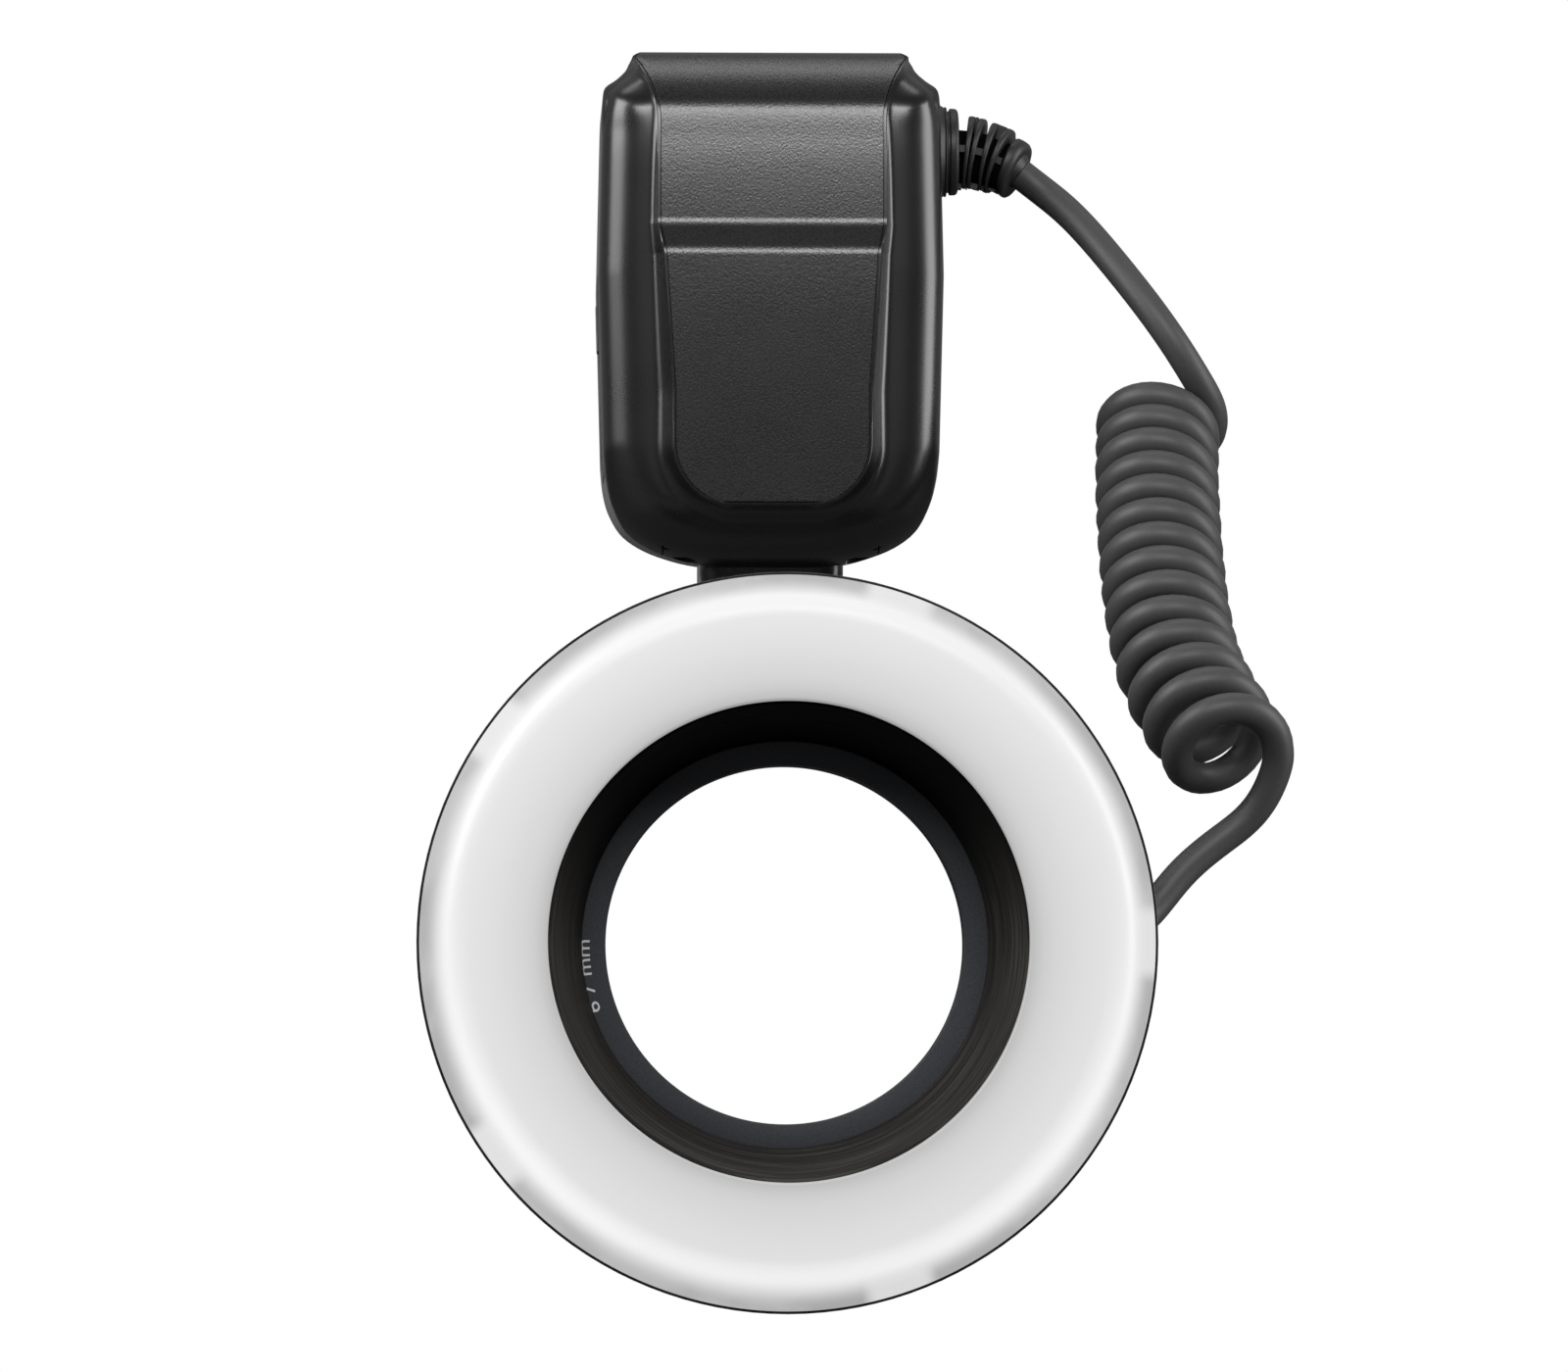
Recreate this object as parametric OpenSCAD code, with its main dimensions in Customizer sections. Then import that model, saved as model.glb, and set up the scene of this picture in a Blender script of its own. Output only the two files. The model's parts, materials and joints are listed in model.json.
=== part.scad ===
// Macro ring flash: a ring head on a lens adapter, a shoe-mounted controller and a curly cord between them.
// Millimetres. Origin at the middle of the shoe foot's underside, +Z up, the light faces -Y.

/* [Placement] */
// Height of the shoe above the lens axis
lens_drop = 60; // [56:1:70]
// Distance from the shoe centre forward to the lens rim
lens_reach = 100; // [95:1:110]

/* [Ring head] */
// Outer diameter of the black rim
rim_d = 132; // [130:0.5:140]
// Outer diameter of the diffuser
diffuser_d = 131; // [129:0.5:131]
// Diameter of the flat part of the diffuser's face
diffuser_flat_d = 117; // [114:0.5:119]
// Diameter where the rounding of the diffuser meets its sloping side
diffuser_brow_d = 124; // [122:0.5:125]
// Diameter of the opening in the diffuser
opening_d = 85.4; // [84:0.2:87]
// Diameter of the cone at its narrow end
throat_d = 72.9; // [70:0.5:74]
// Depth of the ring from its back to its face
ring_depth = 30; // [29:0.5:34]
// Depth of the diffuser cap
diffuser_depth = 9; // [8:0.5:10]
// Wall thickness of the housing
ring_wall = 2; // [1.6:0.1:2.4]
// Wall thickness of the diffuser
diffuser_wall = 2; // [1.6:0.1:2.4]
// Outer diameter of the housing near its back
tail_d = 120; // [119:0.5:123]
// Length of one flash tube as an angle
tube_sweep = 150; // [130:5:156]
// Diameter of a flash tube
tube_d = 6; // [5:0.25:6.5]
// Number of snap hooks on the diffuser
hook_count = 5; // [3:1:6]

/* [Lens adapter] */
// Outer diameter of the lens thread
thread_d = 67; // [66.5:0.25:67.5]
// Length of the lens thread
thread_len = 4; // [3:0.5:6]
// Wall thickness inside the thread
thread_wall = 1.3; // [1.1:0.1:2]
// Width of the flange outside the thread, which the head clips on
flange_rim = 6.5; // [6:0.05:6.75]
// Thickness of the flange
flange_t = 6; // [6:0.1:6.3]
// Depth of the latch groove
groove_depth = 1.2; // [1:0.1:1.4]

/* [Release latches] */
// Travel of a release button
latch_travel = 1.6; // [1.2:0.1:1.7]
// Width of a release button
latch_button_w = 14; // [10:0.5:18]

/* [Controller case] */
// Greatest width of the case
body_w = 65.4; // [64:0.2:68]
// Width of the case near its bottom
body_base_w = 63.4; // [62:0.2:65]
// Width across the shoulders
shoulder_w = 63.8; // [62:0.2:66]
// Width of the raised top
crown_w = 52.4; // [48:0.2:54]
// Height of the case
body_h = 98; // [96:0.5:102]
// Height of the foot under the case
foot_h = 13.8; // [13:0.2:16]
// Depth of the case in front of the shoe centre
body_front = 29; // [28:0.5:33]
// Depth of the case behind the shoe centre
body_back = 24; // [23.5:0.5:27]
// Wall thickness of the case
body_wall = 2; // [1.6:0.1:2.2]
// Radius of the lower corners
base_corner_r = 16; // [14:0.5:18]
// Radius of the hollow beside the crown
shoulder_hollow_r = 5.5; // [4:0.25:6]
// Distance of the case seam behind the shoe centre
seam_y = 9; // [8:0.25:9.5]

/* [Front panel] */
// Width of the front panel at its top
panel_top_w = 42.8; // [38:0.2:46]
// Width of the front panel near its bottom
panel_low_w = 36.8; // [32:0.2:38]
// Proud height of the lower panel
panel_low_t = 4.2; // [3:0.1:5]
// Proud height of the upper panel
panel_high_t = 2; // [1:0.1:2.8]
// Radius of the panel's lower corners
panel_corner_r = 9; // [6:0.5:12]

/* [Rear controls] */
// Width of the display window
window_w = 46; // [40:0.5:48]
// Height of the display window
window_h = 32; // [28:0.5:32]
// Diameter of the selector dial
dial_d = 30; // [28:0.5:31]
// Diameter of the set button
set_d = 10; // [8:0.5:10.5]
// Width of a function key
key_w = 9; // [7:0.25:9.2]
// Height of a function key
key_h = 4.6; // [4:0.1:4.8]
// Diameter of the round buttons
button_d = 8; // [7:0.25:8.5]
// How far keys and buttons stand proud
key_proud = 0.9; // [0.5:0.1:1.5]
// Travel of a key
key_travel = 0.8; // [0.5:0.1:0.9]
// Travel of the power switch
switch_travel = 4; // [3:0.25:4.5]

/* [Battery and ports] */
// Thickness of the battery pack
battery_t = 21; // [19:0.25:21.5]
// Height of the battery pack
battery_h = 38; // [37:0.25:38.5]
// Width left beside the battery for the sockets
port_room = 6.4; // [6:0.2:9]
// Height of the port cover
cover_h = 37.4; // [36:0.2:39]
// Thickness of the port cover
cover_t = 1.5; // [1.3:0.1:1.6]

/* [Shoe foot] */
// Width of the shoe plate
shoe_w = 18.6; // [18.4:0.1:18.8]
// Length of the shoe plate
shoe_l = 18; // [17:0.25:18.5]
// Thickness of the shoe plate
shoe_t = 2; // [1.8:0.1:2.2]
// Width of the neck between the shoe rails
neck_w = 12.4; // [11.5:0.1:12.6]
// Height of the neck between the shoe rails
neck_h = 2.6; // [2.3:0.1:3]
// Diameter of the lock pin
lock_pin_d = 2.4; // [2:0.1:2.6]
// Travel of the lock pin
lock_travel = 1.6; // [1.2:0.1:2]

/* [Cord] */
// Diameter of the cord
cord_d = 5.8; // [5:0.1:5.9]
// Diameter of the curls at the middle of the cord
coil_d = 17.7; // [16:0.1:19]
// Number of curls
coil_turns = 14; // [10:1:14]

/* [Fits] */
// Gap round a piece that moves
move_gap = 0.3; // [0.2:0.05:0.4]
// Radial clearance of a running fit
run_gap = 0.08; // [0.05:0.01:0.1]
// Gap round a piece that is fitted once
seat_gap = 0.1; // [0.05:0.01:0.15]

/* [Hidden] */
$fn = 64;
eps = 0.01;
far = 300;

// Ring head levels, counted forward from the lens rim
ring_back = 1;
ring_front = ring_back + ring_depth;
rim_z = ring_front - diffuser_depth;
rim_band = 2.4;
back_wall = 1.6;
tail_round = 3;
floor_z = ring_back + back_wall;
frame_z = floor_z + 2.2;
frame_t = 1.6;
frame_top = frame_z + frame_t;
ridge_h = 3.2;
reflector_z = frame_top + ridge_h;
reflector_t = 0.8;
reflector_top = rim_z + 2;
cone_flange_t = 1.6;
cone_front = ring_front - 1.4;
cone_lip = 0.6;
cone_wall = 1.6;

// Ring head radii
rim_r = rim_d / 2;
tail_r = tail_d / 2;
flange_r = thread_d / 2 + flange_rim;
bore_r = flange_r + move_gap + seat_gap;
throat_r = throat_d / 2;
opening_r = opening_d / 2;
frame_r = tail_r - ring_wall - 0.4;
inner_ridge_r = 47;
outer_ridge_r = frame_r - 2.1;
ridge_t = 1.5;
tube_r = (inner_ridge_r + outer_ridge_r + ridge_t) / 2;
tube_z = reflector_z + 5.4;
ring_screw_angles = [30, 62, 150, 210, 242, 330];
ring_screw_r = tube_r;
screw_r = 1.2;
screw_head_r = 2.3;
screw_head_h = 1.4;
screw_boss_r = 3.2;

// Release latches
latch_z = floor_z + 0.4;
latch_t = 1.4;
latch_in_r = flange_r + latch_travel + 0.6;
latch_band = 3.2;
latch_arm_y = 0.6;
latch_arm_w = 4.4;
latch_hook_x = flange_r - groove_depth + 0.4;
latch_button_in = tail_r;
latch_button_out = rim_r - 0.8;
latch_button_h = 7;
spring_coil_r = 1.25;
spring_wire_r = 0.25;
spring_turns = 5;
spring_z = frame_top + ridge_h / 2;
spring_pocket = 2.4;
groove_w = latch_t + 0.4;

// Ring cable boss: place on the back of the ring and the way it points
boss_angle = -10.6;
boss_r = 48.5;
boss_turn = 38;
boss_rise = 35;
boss_len = 10;
boss_foot_r = 7.5;
boss_top_r = 6.4;
ring_boot_len = 14;

// Controller levels
base_z = foot_h;
top_z = base_z + body_h;
waist_z = base_z + 55;
shoulder_z = base_z + 91.4;
edge_depth = 12;
edge_side = 7;
edge_top = 11;
edge_base = 11;
back_edge = 2.5;
edge_steps = 5;
overrun = 0.02;
hollow_spot = [shoulder_w / 2 + 0.6, top_z - 1.1];
case_w = min(body_base_w, body_w);

// Rear layout
window_z = base_z + 74.2;
key_z = base_z + 52;
key_pitch = key_w + 1.8;
dial_z = base_z + 28;
side_x = case_w / 2 - 8.2;
side_high_z = base_z + 41;
side_low_z = base_z + 15;
board_y = 12;
board_t = 1.6;
board_back = board_y + board_t;
board_w = case_w - 9.4;
board_low = base_z + 11;
board_high = base_z + 88;
post_r = 1.5;
board_posts = [[17, base_z + 46.6], [-17, base_z + 46.6], [14.5, base_z + 11.7], [-14.5, base_z + 11.7]];
rear_in = body_back - body_wall;
key_flange = 0.6;
key_flange_t = 1.1;
key_in = 18.6;
switch_h = key_in - board_back - key_travel - 0.2;
dial_recess = 1.8;
dial_boss_t = 4;
dial_t = 3.6;
hub_wall = 1.8;
hub_r = set_d / 2 + move_gap + hub_wall;
knob_l = 4.4;
knob_h = 3.4;
knob_flange = 0.8;

// Battery, bay and ports
battery_y = -19.4;
battery_z = base_z + 17.2;
battery_x = -body_w / 2 - 0.3;
battery_l = case_w - port_room;
bay_wall = 1.2;
bay_end = battery_x + battery_l + 2;
bay_mouth = body_wall + 0.1 - min(body_base_w / 2, body_w / 2 - 0.95);
bay_y = battery_y - move_gap - bay_wall;
bay_t = battery_t + 2 * (move_gap + bay_wall);
bay_z = battery_z - move_gap - bay_wall;
bay_h = battery_h + 2 * (move_gap + bay_wall);
cell_r = 9;
cell_l = battery_l - 7;
catch_l = 9;
catch_w = 6;
catch_travel = 2;
catch_depth = 1.6;
catch_y = battery_y + battery_t / 2;
catch_high = battery_z + battery_h - 5;
rib_x = 19;
rib_t = 2;
cap_r = 10.5;
cap_l = 46;
cap_y = -8;
cap_z = base_z + 74.2;
pad_x = case_w / 2 - 2.7;
pad_t = 1.9;
cover_x = body_w / 2 - 1.1;
cover_w = 11.4;
cover_y = -4.7;
cover_z = base_z + 36.2 - cover_h / 2;
cover_hinge_x = cover_x + cover_t / 2;
cover_hinge_y = cover_y - 0.8;
cover_recess_y = cover_hinge_y - 1.5;
port_y = 1.1;
usb_z = base_z + 46.5;
sync_z = base_z + 31;
usb_w = 3.2;
usb_h = 9;
sync_r = 3.4;

// Foot
foot_base_z = shoe_t + neck_h;
foot_base_t = 1.9;
foot_block_z = foot_base_z + foot_base_t;
lever_z = foot_block_z + move_gap;
lever_t = 3;
lever_r = 11;
lever_arm_w = 9;
lever_reach = 24;
lever_swing = 50;
lever_room = lever_t + 2 * move_gap;
pin_y = -6.5;
pin_collar_r = 2.2;
pin_collar_t = 1.6;
pin_collar_z = foot_block_z + lock_travel + 2.5;
pin_low = 0.2;
foot_screw_spots = [[9.5, -10.8], [-9.5, -10.8], [10.5, 8.5]];
contact_spots = [[0, 2.6], [4.2, 5], [-4.2, 5], [4.2, -2], [-4.2, -2]];
contact_r = 0.75;
chassis_z = base_z + 4.6;
chassis_t = 1.6;
case_screw_spots = [[16, -17.4], [-16, -17.4], [16, 15.4], [-16, 15.4]];
case_boss_r = 3;
case_boss_start = 1.4;
chassis_w = 41.2;
chassis_front = -20.4;
chassis_back = 18.4;

// Controller boot: a collar on the case and ribs along a bend
boot_y = -6;
boot_z = base_z + 80.2;
boot_collar_r = 8.5;
boot_collar_l = 3.5;
boot_share = (boot_z - waist_z) / (shoulder_z - waist_z);
boot_side = (body_w + (shoulder_w - body_w) * boot_share) / 2;
boot_x = boot_side - 0.05;
boot_bend_r = 19;
boot_bend = 38;
boot_bend_x = boot_x + boot_collar_l + 0.6;
boot_ribs = 4;
boot_core_r = 4.4;
boot_tip = [
  boot_bend_x + boot_bend_r * sin(boot_bend),
  boot_y,
  boot_z - boot_bend_r * (1 - cos(boot_bend))
];
boot_dir = [cos(boot_bend), 0, -sin(boot_bend)];

// Ring boot's tip and the way it points, in the part's frame
boss_dir = [cos(boss_rise) * cos(boss_turn), sin(boss_rise), cos(boss_rise) * sin(boss_turn)];
boss_foot = [boss_r * cos(boss_angle), -lens_reach - ring_back, boss_r * sin(boss_angle) - lens_drop];
ring_boot_tip = boss_foot + (boss_len + ring_boot_len) * boss_dir;

// Cord route: hand-chosen points along the upper lead, the axis of the curls and the lower lead
upper_points = [[56.5, -8.5, 82.8], [62.2, -13, 77.3], [68, -18, 69.4], [73.3, -22.5, 61.4]];
coil_points = [
  [73.3, -9, 50.5], [72.8, -18, 40.5], [72.3, -27, 30.5], [72.3, -36, 20.8], [72.3, -45, 11.3],
  [72.8, -54, 1.7], [74.3, -64, -8.4], [78.4, -76, -18.4], [84.9, -92, -29.5], [93, -110, -41.6]
];
lower_points = [[88.3, -78, -38.5], [83.3, -79.5, -42.2], [77.2, -81, -46], [72, -82.3, -49.8]];
coil_sides = 6;
lead_sides = 8;
coil_flare = 1;
coil_flare_turns = 0.75;
coil_start = -0.06;
coil_lead_turns = 1.25;
coil_span_turns = 18;
coil_steps = 113;
coil_gap_skip = 5;
coil_step = (coil_turns - coil_start) / coil_steps;

function unit(v) = v / norm(v);
function arc(centre, r, from, to, steps) =
  [for (i = [0:steps]) let (a = from + (to - from) * i / steps) centre + r * [cos(a), sin(a)]];

// A smooth curve through the points: place and direction at a share s of its spans
function span_of(points, s) = max(0, min(len(points) - 2, floor(s * (len(points) - 1))));
function curve_at(points, s) =
  let (
    i = span_of(points, s),
    u = s * (len(points) - 1) - i,
    b = points[i],
    c = points[i + 1],
    a = i > 0 ? points[i - 1] : 2 * b - c,
    d = i + 2 < len(points) ? points[i + 2] : 2 * c - b
  )
  (2 * b + (c - a) * u + (2 * a - 5 * b + 4 * c - d) * u ^ 2 + (3 * b - a - 3 * c + d) * u ^ 3) / 2;
function curve_dir(points, s) =
  unit(curve_at(points, min(1, s + 0.01)) - curve_at(points, max(0, s - 0.01)));

// The curls: a left-handed helix round the smooth axis, wider where the upper lead comes in
function coil_reach(turn) = coil_d / 2 + coil_flare * max(0, 1 - turn / coil_flare_turns) ^ 2;
function coil_share(turn) = (turn + coil_lead_turns) / coil_span_turns;
function coil_at(turn) =
  let (
    s = coil_share(turn),
    along = curve_dir(coil_points, s),
    right = unit([1, 0, 0] - along * along[0]),
    back = cross(right, along)
  )
  curve_at(coil_points, s) + coil_reach(turn) * (cos(360 * turn) * right + sin(360 * turn) * back);
coil_in_dir = unit(coil_at(coil_start + coil_step) - coil_at(coil_start - coil_step));
coil_out_dir = unit(coil_at(coil_turns + coil_step) - coil_at(coil_turns - coil_step));
coil_in = coil_at(coil_start) - cord_d * coil_in_dir;
coil_out = coil_at(coil_turns) + cord_d * coil_out_dir;
coil_turn_list = [for (i = [0:coil_steps]) coil_start + i * coil_step];
coil_path = concat([coil_in], [for (turn = coil_turn_list) coil_at(turn)], [coil_out]);
coil_refs = [
  for (turn = concat([coil_start], coil_turn_list, [coil_turns])) curve_dir(coil_points, coil_share(turn))
];
upper_path = concat([boot_tip, boot_tip + cord_d * boot_dir], upper_points,
  [coil_in - cord_d * coil_in_dir, coil_in]);
lower_path = concat([coil_out, coil_out + cord_d * coil_out_dir], lower_points,
  [ring_boot_tip + cord_d * boss_dir, ring_boot_tip]);

// The least gap between one curl and the next, on the tube's middle points
coil_gap = min([for (i = [0:len(coil_path) - 1]) for (j = [i + coil_gap_skip:1:len(coil_path) - 1])
  norm(coil_path[i] - coil_path[j])]) - cord_d;
echo(coil_gap = coil_gap);

// A closed tube of triangles along a path; refs are directions that the path never follows
module tube(path, refs, r, sides) {
  last = len(path) - 1;
  points = [
    for (i = [0:last])
      let (
        t = unit(path[min(last, i + 1)] - path[max(0, i - 1)]),
        e1 = unit(refs[i] - t * (refs[i] * t)),
        e2 = cross(t, e1)
      )
      for (k = [0:sides - 1]) path[i] + r * (cos(360 * k / sides) * e1 + sin(360 * k / sides) * e2)
  ];
  walls = [
    for (i = [0:last - 1]) for (k = [0:sides - 1])
      let (a = i * sides + k, b = i * sides + (k + 1) % sides)
      each [[a, a + sides, b], [b, a + sides, b + sides]]
  ];
  caps = [
    for (k = [1:sides - 2])
      each [[0, k, k + 1], [last * sides, last * sides + k + 1, last * sides + k]]
  ];
  polyhedron(points, concat(walls, caps));
}

// Helpers for placing pieces
module at_lens() { translate([0, -lens_reach, -lens_drop]) rotate([90, 0, 0]) children(); }
module along_y(y, x, z) { translate([x, y, z]) rotate([-90, 0, 0]) children(); }
module both_sides() { children(); mirror([1, 0, 0]) children(); }
module box(low, high) { translate(low) cube(high - low); }
module rounded_plate(w, l, r, h) {
  hull() for (x = [-1, 1]) for (y = [-1, 1])
    translate([x * (w / 2 - r), y * (l / 2 - r), 0]) cylinder(r = r, h = h, $fn = 32);
}
module at_ring_screws() {
  for (a = ring_screw_angles) rotate(a) translate([ring_screw_r, 0, 0]) children();
}

// Ring head

module ring_housing() {
  inner_tail = tail_r - ring_wall;
  corner = [tail_r - tail_round, ring_back + tail_round];
  color("#191a1c") at_lens() difference() {
    union() {
      rotate_extrude() polygon(concat(
        [[bore_r, ring_back]],
        arc(corner, tail_round, -90, 0, 6),
        [[rim_r, rim_z - rim_band], [rim_r, rim_z], [rim_r - ring_wall, rim_z],
          [rim_r - ring_wall, rim_z - rim_band], [inner_tail, ring_back + tail_round],
          [inner_tail - tail_round / 2, floor_z], [bore_r, floor_z]]
      ));
      at_ring_screws() translate([0, 0, ring_back]) cylinder(r = screw_boss_r, h = frame_z - ring_back);
    }
    at_ring_screws() {
      translate([0, 0, -eps]) cylinder(r = screw_r + seat_gap, h = frame_z + 1);
      translate([0, 0, -eps]) cylinder(r = screw_head_r + seat_gap, h = ring_back + screw_head_h + eps);
    }
    rotate(90) both_sides() box(
      [latch_button_in - 6, -latch_button_w / 2 - move_gap, floor_z],
      [rim_r + 1, latch_button_w / 2 + move_gap, latch_z + latch_button_h + move_gap]
    );
  }
}

module carrier_frame() {
  inner = bore_r + seat_gap;
  color("#2b2c2e") at_lens() difference() {
    rotate_extrude() polygon([
      [inner, frame_z], [frame_r, frame_z], [frame_r, frame_top],
      [outer_ridge_r + ridge_t, frame_top], [outer_ridge_r + ridge_t, reflector_z],
      [outer_ridge_r, reflector_z], [outer_ridge_r, frame_top],
      [inner_ridge_r + ridge_t, frame_top], [inner_ridge_r + ridge_t, reflector_z],
      [inner_ridge_r, reflector_z], [inner_ridge_r, frame_top], [inner, frame_top]
    ]);
    at_ring_screws() translate([0, 0, frame_z - eps]) cylinder(r = screw_r, h = frame_t + 2 * eps);
  }
}

module bore_cone() {
  color("#0c0c0d") at_lens() rotate_extrude() polygon([
    [throat_r, frame_top], [throat_r, frame_top + 0.8], [opening_r - cone_lip - seat_gap, cone_front],
    [opening_r - seat_gap, cone_front], [opening_r - seat_gap, cone_front - 2.6],
    [throat_r + cone_wall, frame_top + cone_flange_t + 1], [inner_ridge_r - 0.6, frame_top + cone_flange_t],
    [inner_ridge_r - 0.6, frame_top]
  ]);
}

module diffuser() {
  side_r = diffuser_d / 2;
  flat_r = diffuser_flat_d / 2;
  brow_r = diffuser_brow_d / 2;
  brow_drop = 2.4;
  inner_r = opening_r + diffuser_wall;
  skirt = 0.6;
  hook_t = 1.4;
  hook_len = 5;
  hook_r = outer_ridge_r + ridge_t + 3.4;
  hook_angle = 10;
  color("#e9eaec") at_lens() union() {
    rotate_extrude() polygon(concat(
      [[opening_r, ring_front - 5], [opening_r, ring_front - 0.4], [opening_r + 0.4, ring_front]],
      [for (i = [0:6]) let (a = 15 * i) [
        flat_r + (brow_r - flat_r) * sin(a),
        ring_front - brow_drop * (1 - cos(a))
      ]],
      [[side_r, rim_z + skirt], [side_r, rim_z], [side_r - diffuser_wall, rim_z],
        [side_r - diffuser_wall, rim_z + skirt],
        [brow_r - diffuser_wall, ring_front - brow_drop - 0.6], [flat_r - 0.6, ring_front - diffuser_wall],
        [inner_r, ring_front - diffuser_wall], [inner_r, ring_front - 5]]
    ));
    for (i = [0:hook_count - 1]) rotate(360 * i / hook_count - hook_angle / 2)
      rotate_extrude(angle = hook_angle) polygon([
        [hook_r, rim_z - hook_len], [hook_r + hook_t, rim_z - hook_len], [hook_r + hook_t, rim_z],
        [side_r - diffuser_wall + 0.4, rim_z], [side_r - diffuser_wall + 0.4, rim_z + skirt + 0.8],
        [hook_r, rim_z + skirt + 0.8]
      ]);
  }
}

module flash_tube(middle) {
  color([0.85, 0.9, 0.95, 0.6]) at_lens() rotate(middle - tube_sweep / 2)
    rotate_extrude(angle = tube_sweep) translate([tube_r, tube_z]) circle(d = tube_d);
}
module flash_tube_left() { flash_tube(180); }
module flash_tube_right() { flash_tube(0); }

module reflector() {
  floor_r = outer_ridge_r + ridge_t;
  wall_r = floor_r + 2.2;
  wall_low = reflector_top - 4;
  low_in = inner_ridge_r - 1;
  high_in = inner_ridge_r - 2;
  color("#c9ccd0") at_lens() rotate_extrude() polygon([
    [low_in, reflector_z], [floor_r, reflector_z], [wall_r, wall_low], [wall_r, reflector_top],
    [wall_r - reflector_t, reflector_top], [wall_r - reflector_t, wall_low],
    [floor_r - reflector_t, reflector_z + reflector_t], [low_in + reflector_t, reflector_z + reflector_t],
    [high_in + reflector_t, reflector_top], [high_in, reflector_top]
  ]);
}

module tube_holders() {
  holder_angle = 6;
  low = reflector_z + reflector_t;
  color("#d8d4c8") at_lens() for (side = [0, 180]) for (end = [-1, 1])
    rotate(side + end * (tube_sweep - holder_angle) / 2 - holder_angle / 2) difference() {
      rotate_extrude(angle = holder_angle) translate([tube_r - tube_d / 2 - 1, low])
        square([tube_d + 2, tube_z - low + tube_d / 2 + 1]);
      rotate(-1) rotate_extrude(angle = holder_angle + 2) translate([tube_r, tube_z])
        circle(r = tube_d / 2 + run_gap);
    }
}

module focus_lamps() {
  low = reflector_z + reflector_t;
  lamp_r = 2.2;
  color("#f4efd8") at_lens() for (a = [86, 94, 266, 274]) rotate(a) translate([tube_r, 0, low]) {
    cylinder(r = lamp_r + 0.6, h = 1.4);
    cylinder(r = lamp_r, h = 2.4);
    translate([0, 0, 2.4]) sphere(r = lamp_r);
  }
}

module trigger_board() {
  color("#1f5a33") at_lens() rotate(195) union() {
    rotate_extrude(angle = 150) translate([inner_ridge_r + ridge_t + 0.3, frame_top])
      square([outer_ridge_r - inner_ridge_r - ridge_t - 0.6, board_t]);
    for (a = [60, 90]) rotate(a) translate([tube_r - 1.8, -4, frame_top + board_t - eps])
      cube([3.6, 8, ridge_h - board_t - 0.3]);
  }
}

// A latch: button on one side, half ring over the bore, hook in the groove on the far side
module latch() {
  mid_r = latch_in_r + latch_band / 2;
  top = latch_z + latch_t;
  arm_side = latch_arm_y + latch_arm_w;
  half_w = latch_button_w / 2;
  difference() {
    union() {
      translate([0, 0, latch_z]) rotate_extrude(angle = 174, start = 3)
        translate([latch_in_r, 0]) square([latch_band, latch_t]);
      box([latch_hook_x, latch_arm_y, latch_z + 0.2], [mid_r, arm_side, top - 0.2]);
      box([-latch_button_in - 1, latch_arm_y, latch_z], [-mid_r, arm_side, top]);
      box([-latch_button_out, -half_w, latch_z], [-latch_button_in, half_w, latch_z + latch_button_h]);
    }
    translate([-latch_button_in - spring_pocket, 0, spring_z]) rotate([0, 90, 0])
      cylinder(r = spring_coil_r + spring_wire_r + 0.4, h = spring_pocket + 1);
  }
}
module top_latch() { color("#232426") at_lens() rotate(-90) latch(); }
module bottom_latch() { color("#232426") at_lens() rotate(90) latch(); }

module latch_spring() {
  start = outer_ridge_r + ridge_t + spring_wire_r + 0.1;
  len = latch_button_in + spring_pocket - spring_wire_r - 0.1 - start;
  steps = spring_turns * 8;
  path = [for (i = [0:steps]) [
    -start - len * i / steps,
    spring_coil_r * cos(360 * i / 8),
    spring_z + spring_coil_r * sin(360 * i / 8)
  ]];
  tube(path, [for (p = path) [1, 0, 0]], spring_wire_r, 6);
}
module top_latch_spring() { color("#b9bcc0") at_lens() rotate(-90) latch_spring(); }
module bottom_latch_spring() { color("#b9bcc0") at_lens() rotate(90) latch_spring(); }

module ring_screws() {
  color("#3a3b3d") at_lens() at_ring_screws() difference() {
    union() {
      translate([0, 0, ring_back + 0.2]) cylinder(r = screw_head_r, h = screw_head_h - 0.2);
      translate([0, 0, ring_back + 0.2]) cylinder(r = screw_r, h = frame_top - ring_back - 0.4);
    }
    for (a = [0, 90]) rotate(a) box([-1.4, -0.3, ring_back], [1.4, 0.3, ring_back + 0.7]);
  }
}

module at_boss() {
  translate(boss_foot) rotate([0, 0, atan2(boss_dir[1], boss_dir[0])])
    rotate([0, acos(boss_dir[2]), 0]) children();
}

module ring_cable_boss() {
  color("#191a1c") intersection() {
    hull() {
      at_lens() rotate(boss_angle) translate([boss_r, 0, ring_back - 1])
        cylinder(r = boss_foot_r, h = 1, $fn = 32);
      at_boss() translate([0, 0, boss_len - 1]) cylinder(r = boss_top_r, h = 1, $fn = 32);
    }
    box([0, -lens_reach - ring_back, -lens_drop - rim_r], [rim_r, 0, 0]);
  }
}

module ring_boot() {
  rib_count = 4;
  rib_step = ring_boot_len / rib_count;
  color("#1d1e20") at_boss() translate([0, 0, boss_len]) rotate_extrude() polygon(concat(
    [[0, 0]],
    [for (i = [0:rib_count - 1]) let (r = boss_top_r - 0.6 - 0.5 * i) each [
      [r, i * rib_step], [r, (i + 0.6) * rib_step],
      [r - 1.2, (i + 0.6) * rib_step], [r - 1.2, (i + 1) * rib_step]
    ]],
    [[0, ring_boot_len]]
  ));
}

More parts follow.
